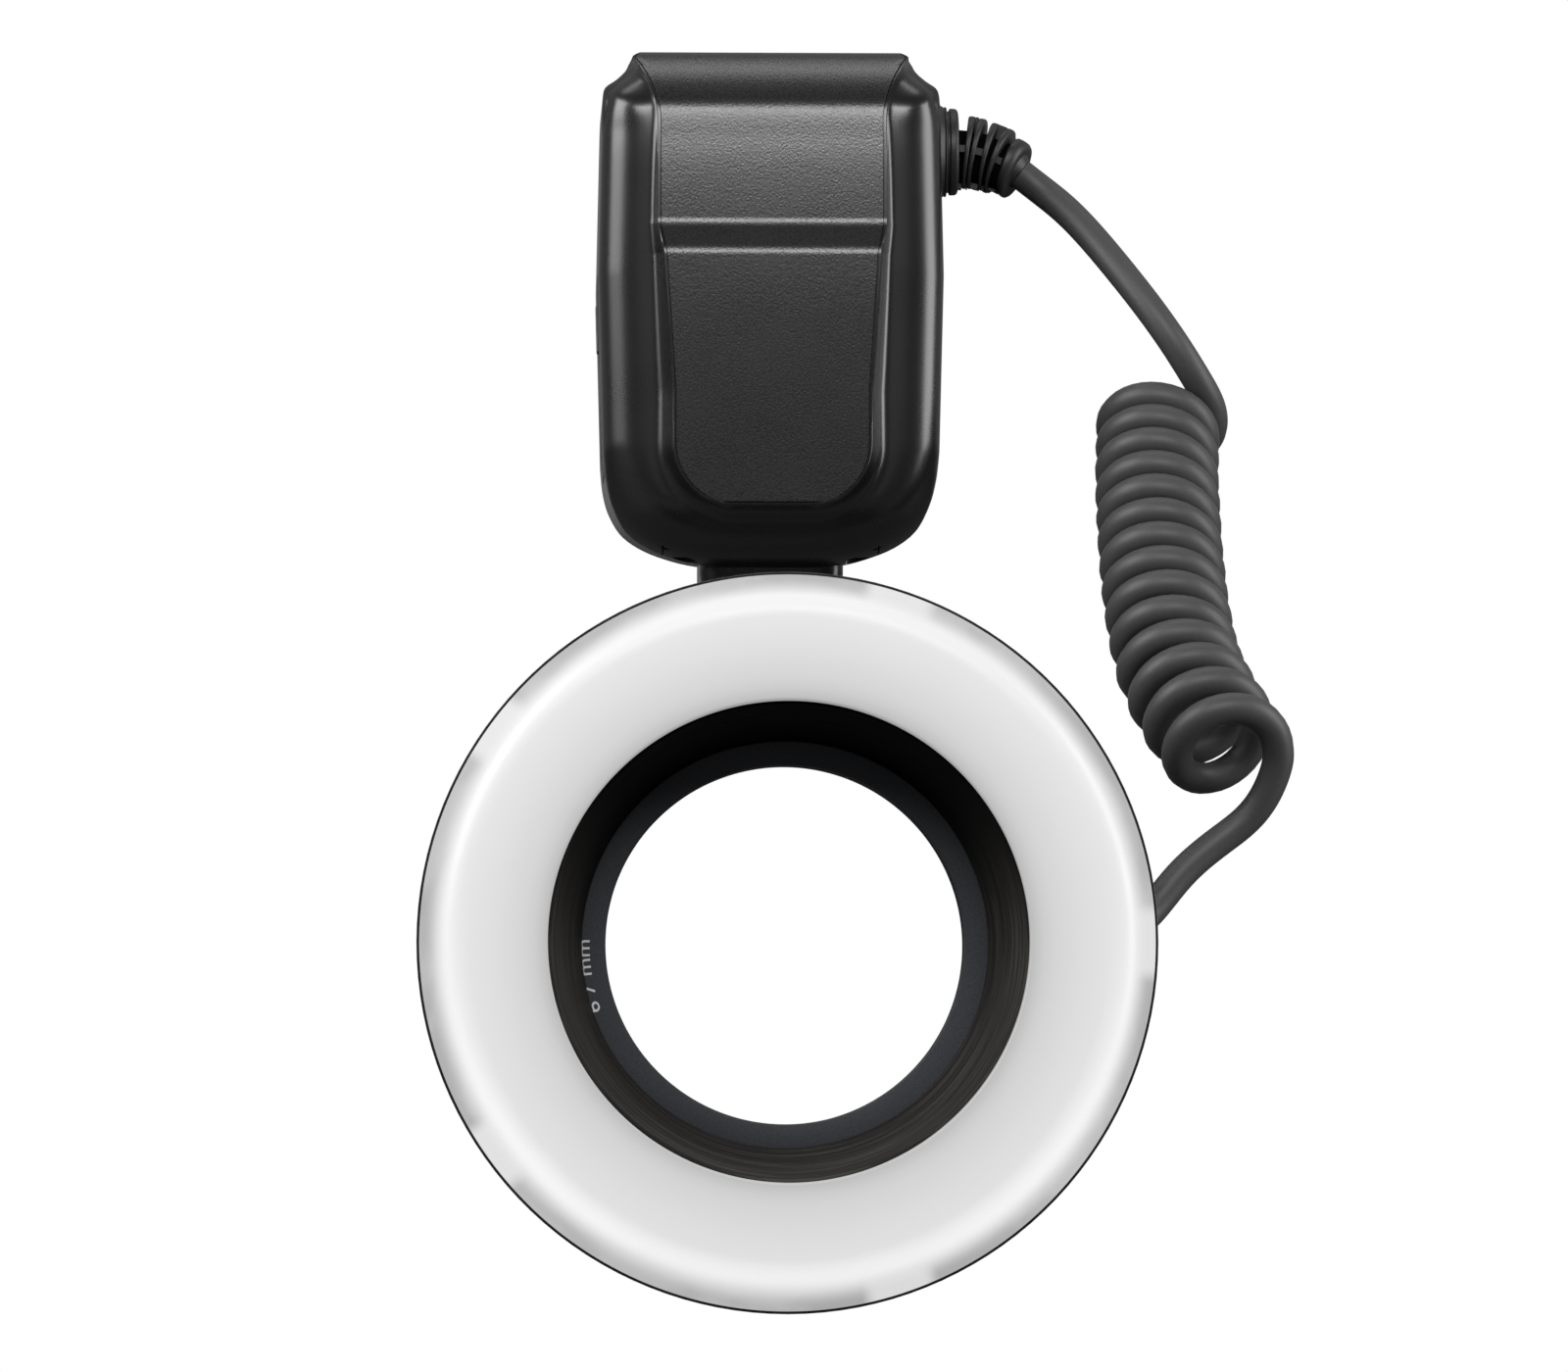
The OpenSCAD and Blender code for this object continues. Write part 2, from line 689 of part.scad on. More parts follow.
module adapter_ring() {
  bore = thread_d / 2 - thread_wall;
  groove_z = latch_z - 0.2;
  groove_r = flange_r - groove_depth;
  relief = 0.4;
  color("#3b3e42") at_lens() rotate_extrude() polygon([
    [bore, -thread_len], [thread_d / 2, -thread_len], [thread_d / 2, 0], [flange_r - relief, 0],
    [flange_r, relief], [flange_r, groove_z], [groove_r, groove_z], [groove_r, groove_z + groove_w],
    [flange_r, groove_z + groove_w], [flange_r, flange_t - relief], [flange_r - relief, flange_t],
    [bore, flange_t]
  ]);
}

// Cord

module cord_upper_lead() {
  color("#3c3d40") tube(upper_path, [for (p = upper_path) [0, 1, 0]], cord_d / 2, lead_sides);
}
module cord_coil() { color("#3c3d40") tube(coil_path, coil_refs, cord_d / 2, coil_sides); }
module cord_lower_lead() {
  color("#3c3d40") tube(lower_path, [for (p = lower_path) [0, 0.4, 1]], cord_d / 2, lead_sides);
}

// Controller case

// A list of points and its mirror image, so that a half outline becomes a whole one
function mirrored(points) =
  concat(points, [for (i = [len(points) - 1:-1:0]) [-points[i][0], points[i][1]]]);
function oval(centre, rx, ry, from, to) =
  [for (i = [0:edge_steps]) let (a = from + (to - from) * i / edge_steps)
    centre + [rx * cos(a), ry * sin(a)]];

// The case seen from the front, from the side and from above, each drawn in by a skin thickness
function case_front(skin) = mirrored(concat(
  arc([body_base_w / 2 - base_corner_r, base_z + base_corner_r], base_corner_r - skin, -90, 0, edge_steps),
  [[body_w / 2 - skin, waist_z], [shoulder_w / 2 - skin, shoulder_z - 2 * skin]],
  skin > 0
    ? [[crown_w / 2 - skin - shoulder_hollow_r, top_z - skin]]
    : concat(arc(hollow_spot, shoulder_hollow_r, 264, 186, 4), [[crown_w / 2, top_z]])
));
function case_side(skin) = let (
    low = base_z + skin - overrun,
    high = top_z - skin + overrun,
    front = -body_front + skin,
    back = body_back - skin
  ) concat(
    oval([front + edge_depth, low + edge_base], edge_depth, edge_base, 270, 180),
    oval([front + edge_depth, high - edge_top], edge_depth, edge_top, 180, 90),
    [[back - back_edge, high], [back, high - back_edge], [back, low + back_edge], [back - back_edge, low]]
  );
function case_plan(skin) = let (
    side = max(body_w, body_base_w, shoulder_w) / 2 - skin + overrun,
    front = -body_front + skin - overrun,
    back = body_back - skin + overrun
  ) mirrored(concat(
    oval([side - edge_side, front + edge_depth], edge_side, edge_depth, 270, 360),
    [[side, back - back_edge], [side - back_edge, back]]
  ));

// The closed form of the case
module case_form(skin) {
  intersection() {
    translate([0, far / 2, 0]) rotate([90, 0, 0]) linear_extrude(height = far) polygon(case_front(skin));
    translate([-far / 2, 0, 0]) rotate([90, 0, 90]) linear_extrude(height = far) polygon(case_side(skin));
    linear_extrude(height = far) polygon(case_plan(skin));
  }
}

module at_case_screws() { for (s = case_screw_spots) translate([s[0], s[1], 0]) children(); }
module case_bosses() {
  at_case_screws() translate([0, 0, base_z + case_boss_start])
    cylinder(r = case_boss_r, h = chassis_z - base_z - case_boss_start);
}
module case_screw_holes() {
  at_case_screws() {
    translate([0, 0, base_z - 2]) cylinder(r = screw_r + seat_gap, h = 10);
    translate([0, 0, base_z - 2]) cylinder(r = screw_head_r + seat_gap, h = 4.2);
  }
}
module foot_screw_holes() {
  for (s = foot_screw_spots) translate([s[0], s[1], base_z - 1]) cylinder(r = screw_r + seat_gap, h = 6);
}

module front_shell() {
  front_in = -body_front + body_wall;
  color("#141416") difference() {
    union() {
      difference() {
        case_form(0);
        case_form(body_wall);
      }
      both_sides() box([rib_x, front_in - 0.5, base_z + 18], [rib_x + rib_t, bay_y, base_z + 54]);
      both_sides() box([rib_x, front_in - 0.5, base_z + 60], [rib_x + rib_t, cap_y, base_z + 84]);
      box([pad_x, cover_recess_y - 1.5, cover_z - 2], [pad_x + pad_t, seam_y, cover_z + cover_h + 2]);
      case_bosses();
    }
    box([-far, seam_y, -far], [far, far, far]);
    translate([-cap_l / 2 - 1, cap_y, cap_z]) rotate([0, 90, 0])
      cylinder(r = cap_r + seat_gap / 2, h = cap_l + 2);
    box(
      [-body_w, battery_y - move_gap, battery_z - move_gap],
      [-body_w / 2 + 8, battery_y + battery_t + move_gap, battery_z + battery_h + move_gap]
    );
    box(
      [cover_x - move_gap, cover_recess_y, cover_z - move_gap],
      [body_w, cover_y + cover_w + move_gap, cover_z + cover_h + move_gap]
    );
    box(
      [0, port_y - usb_w / 2 - seat_gap, usb_z - usb_h / 2 - seat_gap],
      [body_w, port_y + usb_w / 2 + seat_gap, usb_z + usb_h / 2 + seat_gap]
    );
    translate([0, port_y, sync_z]) rotate([0, 90, 0]) cylinder(r = sync_r + seat_gap, h = body_w);
    case_screw_holes();
    foot_screw_holes();
  }
}

module at_keys() {
  for (i = [0:3]) along_y(0, (i - 1.5) * key_pitch, key_z) children();
}
module at_round_buttons() {
  for (s = [[side_x, side_high_z], [-side_x, side_high_z], [-side_x, side_low_z]])
    along_y(0, s[0], s[1]) children();
}

module rear_shell() {
  wall_room = body_wall + 2;
  color("#141416") difference() {
    union() {
      difference() {
        case_form(0);
        case_form(body_wall);
      }
      along_y(body_back - dial_boss_t, 0, dial_z) {
        cylinder(r = dial_d / 2 + 2.2, h = dial_boss_t - back_edge / 2);
        cylinder(r = hub_r, h = dial_boss_t + 1.8);
      }
      for (p = board_posts) along_y(board_back, p[0], p[1])
        cylinder(r = post_r, h = rear_in - board_back + eps);
      case_bosses();
    }
    box([-far, -far, -far], [far, seam_y, far]);
    box(
      [-window_w / 2 - seat_gap, rear_in - 1, window_z - window_h / 2 - seat_gap],
      [window_w / 2 + seat_gap, body_back + 1, window_z + window_h / 2 + seat_gap]
    );
    at_keys() translate([-key_w / 2 - move_gap, -key_h / 2 - move_gap, rear_in - 1])
      cube([key_w + 2 * move_gap, key_h + 2 * move_gap, wall_room]);
    at_round_buttons() translate([0, 0, rear_in - 1]) cylinder(d = button_d + 2 * move_gap, h = wall_room);
    along_y(body_back - dial_recess, 0, dial_z) difference() {
      cylinder(r = dial_d / 2 + move_gap, h = dial_recess + 1);
      translate([0, 0, -eps]) cylinder(r = hub_r, h = dial_recess + 2);
    }
    along_y(body_back - dial_boss_t - 1, 0, dial_z) cylinder(r = set_d / 2 + move_gap, h = dial_boss_t + 4);
    box(
      [side_x - (knob_l + switch_travel) / 2 - move_gap, rear_in - 1, side_low_z - knob_h / 2 - move_gap],
      [side_x + (knob_l + switch_travel) / 2 + move_gap, body_back + 1, side_low_z + knob_h / 2 + move_gap]
    );
    for (p = board_posts) along_y(board_back - eps, p[0], p[1]) cylinder(r = 0.8, h = 5);
    case_screw_holes();
    foot_screw_holes();
  }
}

// The proud front panel: its front outline cut by its side profile
module front_panel() {
  low_z = base_z + 10.9;
  high_z = base_z + 86.7;
  step_z = base_z + 58.4;
  step_h = 5.7;
  half_top = panel_top_w / 2;
  half_mid = (panel_top_w - 2.6) / 2;
  half_low = panel_low_w / 2;
  low_y = -body_front - panel_low_t;
  high_y = -body_front - panel_high_t;
  edge = 1.2;
  color("#2a2b2d") intersection() {
    translate([0, -body_front, 0]) rotate([90, 0, 0]) linear_extrude(height = panel_low_t + 1)
      polygon(mirrored(concat(
        [[half_top, high_z], [half_top, step_z + step_h], [half_mid, step_z]],
        [[half_low, low_z + 2.4 * panel_corner_r]],
        arc([half_low - panel_corner_r, low_z + panel_corner_r], panel_corner_r, 0, -90, 6)
      )));
    translate([-body_w / 2, 0, 0]) rotate([90, 0, 90]) linear_extrude(height = body_w) polygon([
      [-body_front, low_z], [low_y + edge, low_z], [low_y, low_z + edge], [low_y, step_z],
      [high_y, step_z + step_h], [high_y, high_z - 4], [high_y + panel_high_t / 2, high_z],
      [-body_front, high_z]
    ]);
  }
}

module display_window() {
  color("#0a0c0f") box(
    [-window_w / 2, rear_in, window_z - window_h / 2],
    [window_w / 2, body_back - 0.2, window_z + window_h / 2]
  );
}

module display_module() {
  lip = 1;
  glass_t = 2.4;
  color("#5b6a58") difference() {
    box(
      [-window_w / 2 - lip, board_back, window_z - window_h / 2 - lip],
      [window_w / 2 + lip, rear_in, window_z + window_h / 2 + lip]
    );
    box(
      [-window_w / 2 + 2, board_back - 1, window_z - window_h / 2 + 2],
      [window_w / 2 - 2, rear_in - glass_t, window_z + window_h / 2 - 2]
    );
  }
}

module main_board() {
  color("#1f5a33") difference() {
    box([-board_w / 2, board_y, board_low], [board_w / 2, board_back, board_high]);
    for (p = board_posts) along_y(board_y - 1, p[0], p[1]) cylinder(r = 0.8 + seat_gap, h = board_t + 2);
  }
}

module board_screws() {
  color("#8d9094") for (p = board_posts) {
    along_y(board_y - 1, p[0], p[1]) cylinder(r = 1.6, h = 1);
    along_y(board_y - 0.5, p[0], p[1]) cylinder(r = 0.8, h = 5);
  }
}

module key_switches() {
  size = 4.4;
  color("#4a4c50") {
    at_keys() translate([-size / 2, -size / 2, board_back]) cube([size, size, switch_h]);
    at_round_buttons() translate([-size / 2, -size / 2, board_back]) cube([size, size, switch_h]);
    along_y(board_back, 0, dial_z) translate([-size / 2, -size / 2, 0]) cube([size, size, switch_h]);
    along_y(board_back, side_x, side_low_z) translate([-4, -2, 0]) cube([8, 4, rear_in - board_back - 2.4]);
  }
}

module flash_capacitor() {
  color("#22314f") translate([-cap_l / 2, cap_y, cap_z]) rotate([0, 90, 0]) cylinder(r = cap_r, h = cap_l);
}

module transformer() {
  w = 18;
  h = 16;
  low = base_z + 30;
  color("#6b4a2a") {
    box([-w / 2, bay_y + bay_t + 0.4, low], [w / 2, board_y, low + h]);
  }
}

module battery_bay() {
  color("#303236") difference() {
    box([bay_mouth, bay_y, bay_z], [bay_end + bay_wall, bay_y + bay_t, bay_z + bay_h]);
    box(
      [bay_mouth - 1, bay_y + bay_wall, bay_z + bay_wall],
      [bay_end, bay_y + bay_t - bay_wall, bay_z + bay_h - bay_wall]
    );
  }
}

module battery_pack() {
  wall = 1.2;
  end_x = battery_x + battery_l;
  back_y = battery_y + battery_t;
  high = battery_z + battery_h;
  catch_half = catch_w / 2 + move_gap;
  color("#1b1c1e") difference() {
    box([battery_x, battery_y, battery_z], [end_x, back_y, high]);
    box(
      [battery_x + 4, battery_y + wall, battery_z + wall],
      [end_x - wall, back_y - wall, high - wall]
    );
    box(
      [battery_x - 1, catch_y - catch_half, catch_high - catch_l - catch_travel - move_gap],
      [battery_x + catch_depth + move_gap, catch_y + catch_half, catch_high + move_gap]
    );
  }
}

module battery_cells() {
  pitch = 2 * cell_r - 0.6;
  middle = battery_z + battery_h / 2;
  color("#3f6fae") for (i = [-0.5, 0.5])
    translate([battery_x + 4, battery_y + battery_t / 2, middle + i * pitch])
      rotate([0, 90, 0]) cylinder(r = cell_r - 0.4, h = cell_l);
}

module battery_contacts() {
  pitch = 6;
  mid_y = battery_y + battery_t / 2;
  mid_z = battery_z + battery_h / 2;
  color("#d4b45c") for (i = [-1:1]) translate([0, mid_y, mid_z + i * pitch])
    box([battery_x + battery_l + 0.4, -2, -1.2], [bay_end, 2, 1.2]);
}

module battery_catch() {
  low = catch_high - catch_l;
  half_w = catch_w / 2;
  color("#5a5c60") translate([battery_x, catch_y, low]) union() {
    box([-0.2, -half_w, 0], [catch_depth, half_w, catch_l]);
    for (i = [0:3]) box([-0.6, 0.8 - half_w, 1.4 + i * 1.8], [0, half_w - 0.8, 2.2 + i * 1.8]);
  }
}

module port_cover() {
  grip_z = cover_z + cover_h / 2 - 5;
  color("#202124") union() {
    box([cover_x, cover_hinge_y, cover_z], [cover_x + cover_t, cover_y + cover_w, cover_z + cover_h]);
    translate([cover_hinge_x, cover_hinge_y, cover_z]) cylinder(d = cover_t, h = cover_h);
    translate([cover_x + cover_t - eps, cover_y + cover_w - 2, grip_z]) cube([0.5, 1.2, 10]);
  }
}

module usb_socket() {
  shell = 0.4;
  back_x = bay_end + bay_wall;
  half_w = usb_w / 2;
  half_h = usb_h / 2;
  color("#b7babe") translate([0, port_y, usb_z]) difference() {
    box([back_x, -half_w, -half_h], [cover_x - move_gap, half_w, half_h]);
    box([back_x + 1, shell - half_w, shell - half_h], [cover_x, half_w - shell, half_h - shell]);
  }
}

module sync_socket() {
  jack_r = 1.3;
  color("#b7babe") translate([bay_end + bay_wall, port_y, sync_z]) rotate([0, 90, 0]) difference() {
    cylinder(r = sync_r, h = cover_x - move_gap - bay_end - bay_wall);
    translate([0, 0, 0.8]) cylinder(r = jack_r, h = far);
  }
}

// Rear controls

module selector_dial() {
  notches = 36;
  notch_r = 0.6;
  color("#1b1c1e") along_y(body_back - dial_recess + move_gap, 0, dial_z) difference() {
    cylinder(d = dial_d, h = dial_t);
    translate([0, 0, -1]) cylinder(r = hub_r + run_gap, h = dial_t + 2);
    for (i = [0:notches - 1]) rotate(360 * i / notches) translate([dial_d / 2, 0, dial_recess])
      cylinder(r = notch_r, h = dial_t, $fn = 16);
    translate([0, 0, dial_t - 0.8]) difference() {
      cylinder(r = dial_d / 2 - 2.4, h = 1);
      translate([0, 0, -eps]) cylinder(r = hub_r + 1.6, h = 2);
    }
  }
}

module set_button() {
  color("#2b2c2f") along_y(key_in, 0, dial_z) {
    cylinder(d = set_d, h = body_back + dial_t - dial_recess + 0.4 - key_in);
    cylinder(d = set_d + 1, h = body_back - dial_boss_t - key_in - move_gap);
  }
}

module function_key(i) {
  flange_y = rear_in - move_gap - key_flange_t;
  color("#2b2c2f") along_y(0, (i - 1.5) * key_pitch, key_z) union() {
    translate([-key_w / 2, -key_h / 2, flange_y]) cube([key_w, key_h, body_back + key_proud - flange_y]);
    translate([-key_w / 2 - key_flange, -key_h / 2 - key_flange, flange_y])
      cube([key_w + 2 * key_flange, key_h + 2 * key_flange, key_flange_t]);
    translate([0, 0, key_in]) cylinder(r = 1.4, h = flange_y - key_in + eps);
  }
}
module function_key_1() { function_key(0); }
module function_key_2() { function_key(1); }
module function_key_3() { function_key(2); }
module function_key_4() { function_key(3); }

module round_button(x, z) {
  flange_y = rear_in - move_gap - key_flange_t;
  color("#2b2c2f") along_y(0, x, z) union() {
    translate([0, 0, flange_y]) cylinder(d = button_d, h = body_back + key_proud - flange_y);
    translate([0, 0, flange_y]) cylinder(d = button_d + 2 * key_flange, h = key_flange_t);
    translate([0, 0, key_in]) cylinder(r = 1.4, h = flange_y - key_in + eps);
  }
}
module mode_button() { round_button(-side_x, side_high_z); }
module lock_button() { round_button(-side_x, side_low_z); }
module test_button() { round_button(side_x, side_high_z); }

module power_switch() {
  left = side_x - switch_travel / 2;
  flange_y = rear_in - move_gap - key_flange_t;
  color("#2b2c2f") along_y(0, left, side_low_z) union() {
    translate([-knob_l / 2, -knob_h / 2, flange_y]) cube([knob_l, knob_h, body_back + 1.2 - flange_y]);
    translate([-knob_l / 2 - knob_flange, -knob_h / 2 - knob_flange, flange_y])
      cube([knob_l + 2 * knob_flange, knob_h + 2 * knob_flange, key_flange_t]);
  }
}

// Chassis, boot and foot

module chassis_plate() {
  color("#9a9da1") difference() {
    box([-chassis_w / 2, chassis_front, chassis_z], [chassis_w / 2, chassis_back, chassis_z + chassis_t]);
    at_case_screws() translate([0, 0, chassis_z - 1]) cylinder(r = screw_r, h = chassis_t + 2);
    for (s = foot_screw_spots) translate([s[0], s[1], chassis_z - 1])
      cylinder(r = screw_r, h = chassis_t + 2);
  }
}

module case_screws() {
  color("#3a3b3d") at_case_screws() difference() {
    union() {
      translate([0, 0, base_z + 0.8]) cylinder(r = screw_head_r, h = 1.4);
      translate([0, 0, base_z + 0.8]) cylinder(r = screw_r, h = chassis_z + chassis_t - base_z - 0.8);
    }
    for (a = [0, 90]) rotate(a) box([-1.4, -0.3, base_z], [1.4, 0.3, base_z + 1.5]);
  }
}

module controller_boot() {
  step = boot_bend / boot_ribs;
  color("#1d1e20") union() {
    translate([boot_x, boot_y, boot_z]) rotate([0, 90, 0]) {
      cylinder(r = boot_collar_r, h = boot_collar_l);
      cylinder(r = boot_core_r + 1, h = boot_collar_l + 1);
    }
    for (i = [0:boot_ribs - 1])
      translate([boot_bend_x, boot_y, boot_z - boot_bend_r]) rotate([0, (i + 0.4) * step, 0])
        translate([0, 0, boot_bend_r]) rotate([0, 90, 0]) translate([0, 0, -0.9])
          cylinder(r = boot_collar_r - 0.6 - 0.7 * i, h = 1.8);
    translate([boot_bend_x, boot_y, boot_z - boot_bend_r]) rotate([90, 0, 0]) rotate(90 - boot_bend)
      rotate_extrude(angle = boot_bend) translate([boot_bend_r, 0]) circle(r = boot_core_r);
  }
}

module foot_block() {
  color("#18191b") difference() {
    hull() {
      translate([0, 0, base_z - 1]) rounded_plate(26.6, 30, 4, 1);
      translate([0, 0, foot_block_z]) rounded_plate(24.6, 27.6, 4, 1);
    }
    translate([0, 0, foot_block_z - eps]) cylinder(r = lever_r + move_gap, h = lever_room + eps);
    translate([0, 0, foot_block_z - eps]) rotate_extrude(angle = lever_swing + 54, start = 63)
      square([far / 10, lever_room + eps]);
    translate([0, pin_y, foot_block_z])
      cylinder(r = pin_collar_r + move_gap, h = pin_collar_z + pin_collar_t + move_gap - foot_block_z);
    for (s = foot_screw_spots) translate([s[0], s[1], 0]) cylinder(r = screw_r + seat_gap, h = base_z + 1);
  }
}

module foot_base() {
  color("#18191b") difference() {
    translate([0, 0, foot_base_z]) rounded_plate(24.6, 27.6, 4, foot_base_t);
    translate([0, pin_y, 0]) cylinder(r = lock_pin_d / 2 + run_gap, h = base_z);
    for (s = foot_screw_spots) translate([s[0], s[1], 0]) {
      cylinder(r = screw_r + seat_gap, h = base_z);
      cylinder(r = screw_head_r + seat_gap, h = foot_base_z + 1.2);
    }
  }
}

module shoe_plate() {
  color("#a9acb0") difference() {
    union() {
      box([-shoe_w / 2, -shoe_l / 2, 0], [shoe_w / 2, shoe_l / 2, shoe_t]);
      box([-neck_w / 2, -shoe_l / 2, shoe_t - eps], [neck_w / 2, shoe_l / 2, foot_base_z]);
    }
    translate([0, pin_y, -1]) cylinder(r = lock_pin_d / 2 + run_gap, h = base_z);
    for (s = contact_spots) translate([s[0], s[1], -1])
      cylinder(r = contact_r + seat_gap, h = foot_base_z + 2);
  }
}

module shoe_contacts() {
  color("#d4b45c") for (s = contact_spots) translate([s[0], s[1], 0])
    cylinder(r = contact_r, h = foot_base_z);
}

module lock_lever() {
  color("#26272a") difference() {
    translate([0, 0, lever_z]) union() {
      cylinder(r = lever_r, h = lever_t);
      box([-lever_arm_w / 2, 0, 0], [lever_arm_w / 2, lever_reach - lever_arm_w / 2, lever_t]);
      translate([0, lever_reach - lever_arm_w / 2, 0]) cylinder(d = lever_arm_w, h = lever_t);
    }
    translate([0, 0, lever_z - 1]) rotate_extrude(angle = lever_swing + 50, start = -90 - lever_swing - 25)
      translate([-pin_y - pin_collar_r - 0.4, 0]) square([2 * pin_collar_r + 0.8, lever_t + 2]);
  }
}

module lock_pin() {
  color("#b7babe") union() {
    translate([0, pin_y, pin_low]) cylinder(d = lock_pin_d, h = pin_collar_z + pin_collar_t - pin_low);
    translate([0, pin_y, pin_collar_z]) cylinder(r = pin_collar_r, h = pin_collar_t);
  }
}

module foot_screws() {
  color("#3a3b3d") for (s = foot_screw_spots) translate([s[0], s[1], foot_base_z]) {
    cylinder(r = screw_head_r, h = 1.2);
    cylinder(r = screw_r, h = chassis_z + chassis_t - foot_base_z);
  }
}

ring_housing();
carrier_frame();
bore_cone();
diffuser();
flash_tube_left();
flash_tube_right();
reflector();
tube_holders();
focus_lamps();
trigger_board();
top_latch();
bottom_latch();
top_latch_spring();
bottom_latch_spring();
ring_screws();
ring_cable_boss();
ring_boot();
adapter_ring();
cord_upper_lead();
cord_coil();
cord_lower_lead();
front_shell();
rear_shell();
front_panel();
display_window();
display_module();
main_board();
board_screws();
key_switches();
flash_capacitor();
transformer();
battery_bay();
battery_pack();
battery_cells();
battery_contacts();
battery_catch();
port_cover();
usb_socket();
sync_socket();
selector_dial();
set_button();
function_key_1();
function_key_2();
function_key_3();
function_key_4();
mode_button();
lock_button();
test_button();
power_switch();
chassis_plate();
case_screws();
controller_boot();
foot_block();
foot_base();
shoe_plate();
shoe_contacts();
lock_lever();
lock_pin();
foot_screws();
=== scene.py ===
# %% [markdown]
# # A macro ring flash, dressed in Blender
# The solids of the part come in as a fixed frame. Each cell below adds one visible skin or finish on top
# of them, in metres and in the same place, so nothing has to be fitted by eye.

# %% Load the frame
import json
import math

import bmesh
import bpy
import numpy as np
from mathutils import Matrix, Vector


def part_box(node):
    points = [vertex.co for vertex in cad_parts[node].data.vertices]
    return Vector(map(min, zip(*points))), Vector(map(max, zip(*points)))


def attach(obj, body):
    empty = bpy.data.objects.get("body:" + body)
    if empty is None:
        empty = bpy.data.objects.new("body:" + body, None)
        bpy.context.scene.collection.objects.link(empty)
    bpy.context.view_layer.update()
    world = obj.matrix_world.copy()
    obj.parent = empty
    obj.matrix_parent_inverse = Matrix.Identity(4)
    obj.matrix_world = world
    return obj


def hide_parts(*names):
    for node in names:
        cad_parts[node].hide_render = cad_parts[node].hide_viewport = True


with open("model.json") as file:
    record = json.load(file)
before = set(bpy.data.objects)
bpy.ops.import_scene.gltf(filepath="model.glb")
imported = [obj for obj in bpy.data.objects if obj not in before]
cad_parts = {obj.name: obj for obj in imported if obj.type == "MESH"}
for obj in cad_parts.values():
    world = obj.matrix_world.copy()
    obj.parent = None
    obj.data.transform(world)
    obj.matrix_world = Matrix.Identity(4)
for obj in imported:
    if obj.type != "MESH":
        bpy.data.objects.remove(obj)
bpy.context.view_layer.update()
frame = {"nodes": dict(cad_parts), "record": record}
scene = bpy.context.scene
scene.view_settings.view_transform = "Standard"
mm = 0.001

# %% [markdown]
# ## Camera
# The object was photographed from far off and a little below, with the ring near the middle of the frame.
# A long lens at the same distance gives the same flat perspective. The camera is turned towards the object
# rather than shifted, so that other views of the scene stay centred too.


# %% Camera
def show(name, data):
    """A new object in the scene that holds the data."""
    item = bpy.data.objects.new(name, data)
    scene.collection.objects.link(item)
    return item


camera_data = bpy.data.cameras.new("camera")
camera_data.lens = 217.6
camera_data.sensor_width = 36
camera_data.clip_end = 30
camera = show("camera", camera_data)
camera.location = (-0.0529, -1.806, -0.1049)
aim = Vector((0.0, -0.1, -0.0132))
camera.rotation_euler = (aim - camera.location).to_track_quat("-Z", "Y").to_euler()
scene.camera = camera
print("camera:", round((aim - camera.location).length, 3), "m from the object")

# %% [markdown]
# ## Cord
# A rubber cord joins the two halves: a free lead out of the controller, fourteen tight curls and a short
# lead into the back of the ring. A curve with a round bevel is the natural tool, because it keeps one
# thickness however it bends; it is turned into a mesh at the end. The route follows the solids' route: a
# smooth curve through given points for the leads, and a left-handed helix for the curls. Places are in
# millimetres, as in the solids, and `mm` turns them into metres.

# %% Cord route
cord_d = 5.8
coil_d = 17.7  # across the middles of the cord
coil_turns = 14
coil_start = 0.03  # the turn at which the upper lead comes in
curl_join = 0.05  # turns that the upper lead shares with the curls
coil_flare = 1.8  # how much wider the first curl starts
coil_flare_turns = 0.75
coil_lead_turns = 1.25  # turns that the middle line runs on before the first curl
coil_span_turns = 18  # turns along the whole middle line
curl_points = 36  # points in one turn
bend_end = 38.0  # degrees by which the controller's boot turns the cord down
boot_tip = np.array([47.9, -6.0, 89.97])
boot_dir = np.array([math.cos(math.radians(bend_end)), 0, -math.sin(math.radians(bend_end))])
boss_foot = np.array([47.67, -101, -68.92])
boss_dir = np.array([0.6455, 0.5736, 0.5043])
ring_boot_length = 24
ring_boot_tip = boss_foot + ring_boot_length * boss_dir
upper_points = [[58.3, -10, 81.1], [66.3, -17, 70.4], [72.3, -21, 62], [77, -22.6, 54.9], [80.9, -21, 48.8],
                [83.6, -17.5, 44.6]]
coil_points = np.array([
    [75, -9, 48.6], [73.5, -18, 39.4], [72.6, -27, 30.2], [72.3, -36, 20.8], [72.3, -45, 11.3],
    [72.8, -54, 1.7], [74.3, -64, -8.4], [78.4, -76, -18.4], [84.9, -92, -29.5], [93, -110, -41.6],
])
lower_points = [[88.7, -80.5, -32], [85.2, -79.5, -36.6], [80, -80, -40.4], [75, -81.2, -44.4],
                [71.2, -82.3, -48.4]]


def unit(v):
    """The vector's direction, with length one."""
    return v / np.linalg.norm(v)


def smooth_at(points, share):
    """A place on the smooth curve through the points, at a share of its spans."""
    spans = len(points) - 1
    i = max(0, min(spans - 1, int(math.floor(share * spans))))
    u = share * spans - i
    b, c = points[i], points[i + 1]
    a = points[i - 1] if i > 0 else 2 * b - c
    d = points[i + 2] if i + 2 <= spans else 2 * c - b
    return (2 * b + (c - a) * u + (2 * a - 5 * b + 4 * c - d) * u**2 + (3 * b - a - 3 * c + d) * u**3) / 2


